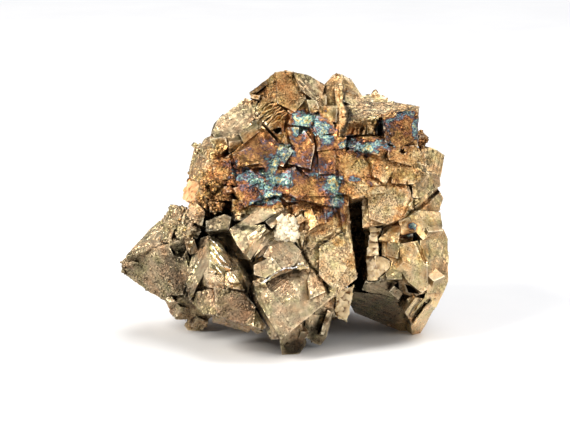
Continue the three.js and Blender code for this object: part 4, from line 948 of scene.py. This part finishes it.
def studio():
    """Even, nearly white surroundings, a broad soft light from above and from the right, and two soft
    lights beside the viewer."""
    world = bpy.data.worlds.new("studio")
    bpy.context.scene.world = world
    world.use_nodes = True
    world.node_tree.nodes["Background"].inputs["Color"].default_value = linear(240, 242, 248)
    world.node_tree.nodes["Background"].inputs["Strength"].default_value = 0.36
    top = bpy.data.lights.new("top light", "SUN")
    top.energy = 3.0
    top.angle = math.radians(60)
    lamp = bpy.data.objects.new("top light", top)
    lamp.rotation_euler = (math.radians(-10), math.radians(18), 0)
    bpy.context.scene.collection.objects.link(lamp)
    soft_light("key light", (-0.42, -0.30, 0.42), 0.16, 0.3, 5.5, (255, 250, 242))
    soft_light("right light", (0.50, -0.30, 0.20), 0.12, 0.3, 1.5)
    bpy.context.scene.view_settings.view_transform = "Standard"


def camera():
    """The eye at the photograph's viewing angle, with a field FIELD_WIDTH wide at the middle plane."""
    lens = bpy.data.cameras.new("camera")
    lens.sensor_width = 36
    lens.lens = 36 * EYE_DISTANCE / FIELD_WIDTH
    lens.clip_start = 0.01
    eye = bpy.data.objects.new("camera", lens)
    bpy.context.scene.collection.objects.link(eye)
    place = (at(0, EYE_UP, 0) - AWAY * EYE_DISTANCE) * MM
    axes = np.column_stack([RIGHT, UP, -AWAY])
    eye.matrix_world = Matrix.Translation(place) @ Matrix(axes.tolist()).to_4x4()
    bpy.context.scene.camera = eye


pyrite = pyrite_material("pyrite faces", 1.0, 0.40)
pyrite_grains = pyrite_material("pyrite grains", 0.4, 0.36)
milky = quartz_material("milky quartz", [(206, 184, 150), (232, 216, 184), (250, 242, 222)], (178, 148, 112))
peach = quartz_material("peach quartz", [(216, 160, 104), (230, 186, 134), (238, 204, 160)], (180, 120, 70))
tan = quartz_material("tan quartz", [(190, 162, 118), (218, 194, 150), (234, 216, 180)], (130, 100, 66))

skin = pyrite_skin(pyrite)


def coarse_share(places, grain):
    return grain**2 * front_share(places)


def crust_share(places, grain):
    return ease((grain - 0.74) / 0.2) * front_share(places)


def far_share(places, grain):
    return (0.2 + grain) * (1 - front_share(places))


def even_share(places, grain):
    return np.ones(len(places))


druse("crust", skin, pyrite_grains, 800, (0.4, 0.9), crust_share, 45, 0.7, 0.32, 0.08)
druse("front_druse", skin, pyrite_grains, 2600, (0.35, 0.9), coarse_share, 41, 0.3, 0.3)
druse("fine_druse", skin, pyrite_grains, 16000, (0.16, 0.42), coarse_share, 42, 0.4, 0.28)
druse("far_druse", skin, pyrite_grains, 9000, (0.4, 1.3), far_share, 43)

# Thin plates: both ends of the front edge, as right, up and depth, and the thickness of each. They are
# the fan between the pale block and the top, the columns in the recess beside the corner cube, the row
# of small crystals above them, the growth steps on the stepped crystal, the crest of the front cube, the
# wavy rib down the ridge, and the blades of the right foot.
FAN = [
    ((0.36 * i - 5.4, 48.9 - 0.45 * i, -7.3 - 0.2 * i), (0.42 * i - 2.4, 50.8 - 0.38 * i, -7.3 - 0.2 * i),
     thickness)
    for i, thickness in enumerate([0.16, 0.26, 0.36, 0.16, 0.26, 0.36, 0.16, 0.26])
]
COLUMNS = [
    ((12.9 + 0.95 * i, 43.9, 0.25 * i - 8.4), (13.2 + 0.95 * i, 46.8, 0.25 * i - 8.4), 0.45 + 0.12 * (i % 2))
    for i in range(6)
]
TEETH = [
    ((13.2 + 0.8 * i, 45.7 + 0.18 * i, 0.75 * i - 10.5),
     (13.7 + 0.8 * i, 46.7 + 0.18 * i, 0.75 * i - 10.5), 0.5)
    for i in range(8)
]
STEPS = [
    ((-15.0, 23.0, -11.0), (-12.4, 20.7, -11.4), 0.30),
    ((-14.8, 21.8, -11.5), (-11.9, 18.2, -13.2), 0.45),
    ((-14.9, 20.4, -12.1), (-12.2, 17.3, -13.8), 0.28),
    ((-15.0, 18.8, -13.0), (-12.6, 16.2, -14.6), 0.40),
    ((-13.2, 17.9, -13.8), (-10.8, 17.0, -13.8), 0.35),
]
CREST = [
    ((-4.7, 14.0, -18.9), (-2.0, 16.2, -17.8), 0.5),
    ((-2.2, 16.1, -17.9), (-0.4, 17.1, -16.7), 0.5),
    ((-0.6, 17.0, -16.8), (2.4, 17.4, -16.5), 0.45),
    ((2.6, 18.1, -15.8), (4.6, 17.2, -14.9), 0.5),
]
RIB = [
    ((11.0, 55.4, 1.9), (11.2, 51.8, -1.0), 1.3),
    ((11.15, 52.2, -0.8), (11.6, 47.6, -4.9), 1.3),
    ((11.6, 48.2, -4.3), (10.0, 43.6, -7.6), 1.2),
]
BLADES = [
    ((24.0, 8.1, -1.9), (26.7, 11.5, -6.2), 0.8),
    ((24.8, 7.0, -2.7), (28.0, 11.1, -5.5), 0.8),
    ((25.7, 6.0, -0.9), (29.3, 10.8, -4.2), 0.8),
]
thin_plates("fan_plates", pyrite, FAN, 44, 1.7)
thin_plates("recess_columns", pyrite, COLUMNS, 46, 1.0)
thin_plates("edge_crystals", pyrite, TEETH, 48, 1.0)
thin_plates("growth_steps", pyrite, STEPS, 49, 1.0, 0.3, 0.6)
thin_plates("cube_crest", pyrite, CREST, 50, 1.5, 0.5, 0.7)
thin_plates("ridge_rib", pyrite, RIB, 51, 1.5)
thin_plates("foot_blades", pyrite, BLADES, 52, 1.0, 0.4)

front_quartz = quartz_lump("quartz_front", milky, 0.6, 0.3)
druse("quartz_crumbs", front_quartz, milky, 150, (0.5, 1.3), even_share, 47, 0.9, 0.05)
quartz_lump("quartz_left", peach, 0.3)
quartz_lump("quartz_chasm", tan, 0.25)
quartz_lump("quartz_under", tan, 0.5)
quartz_lump("quartz_right", milky, 0.3)

floor()
studio()
camera()
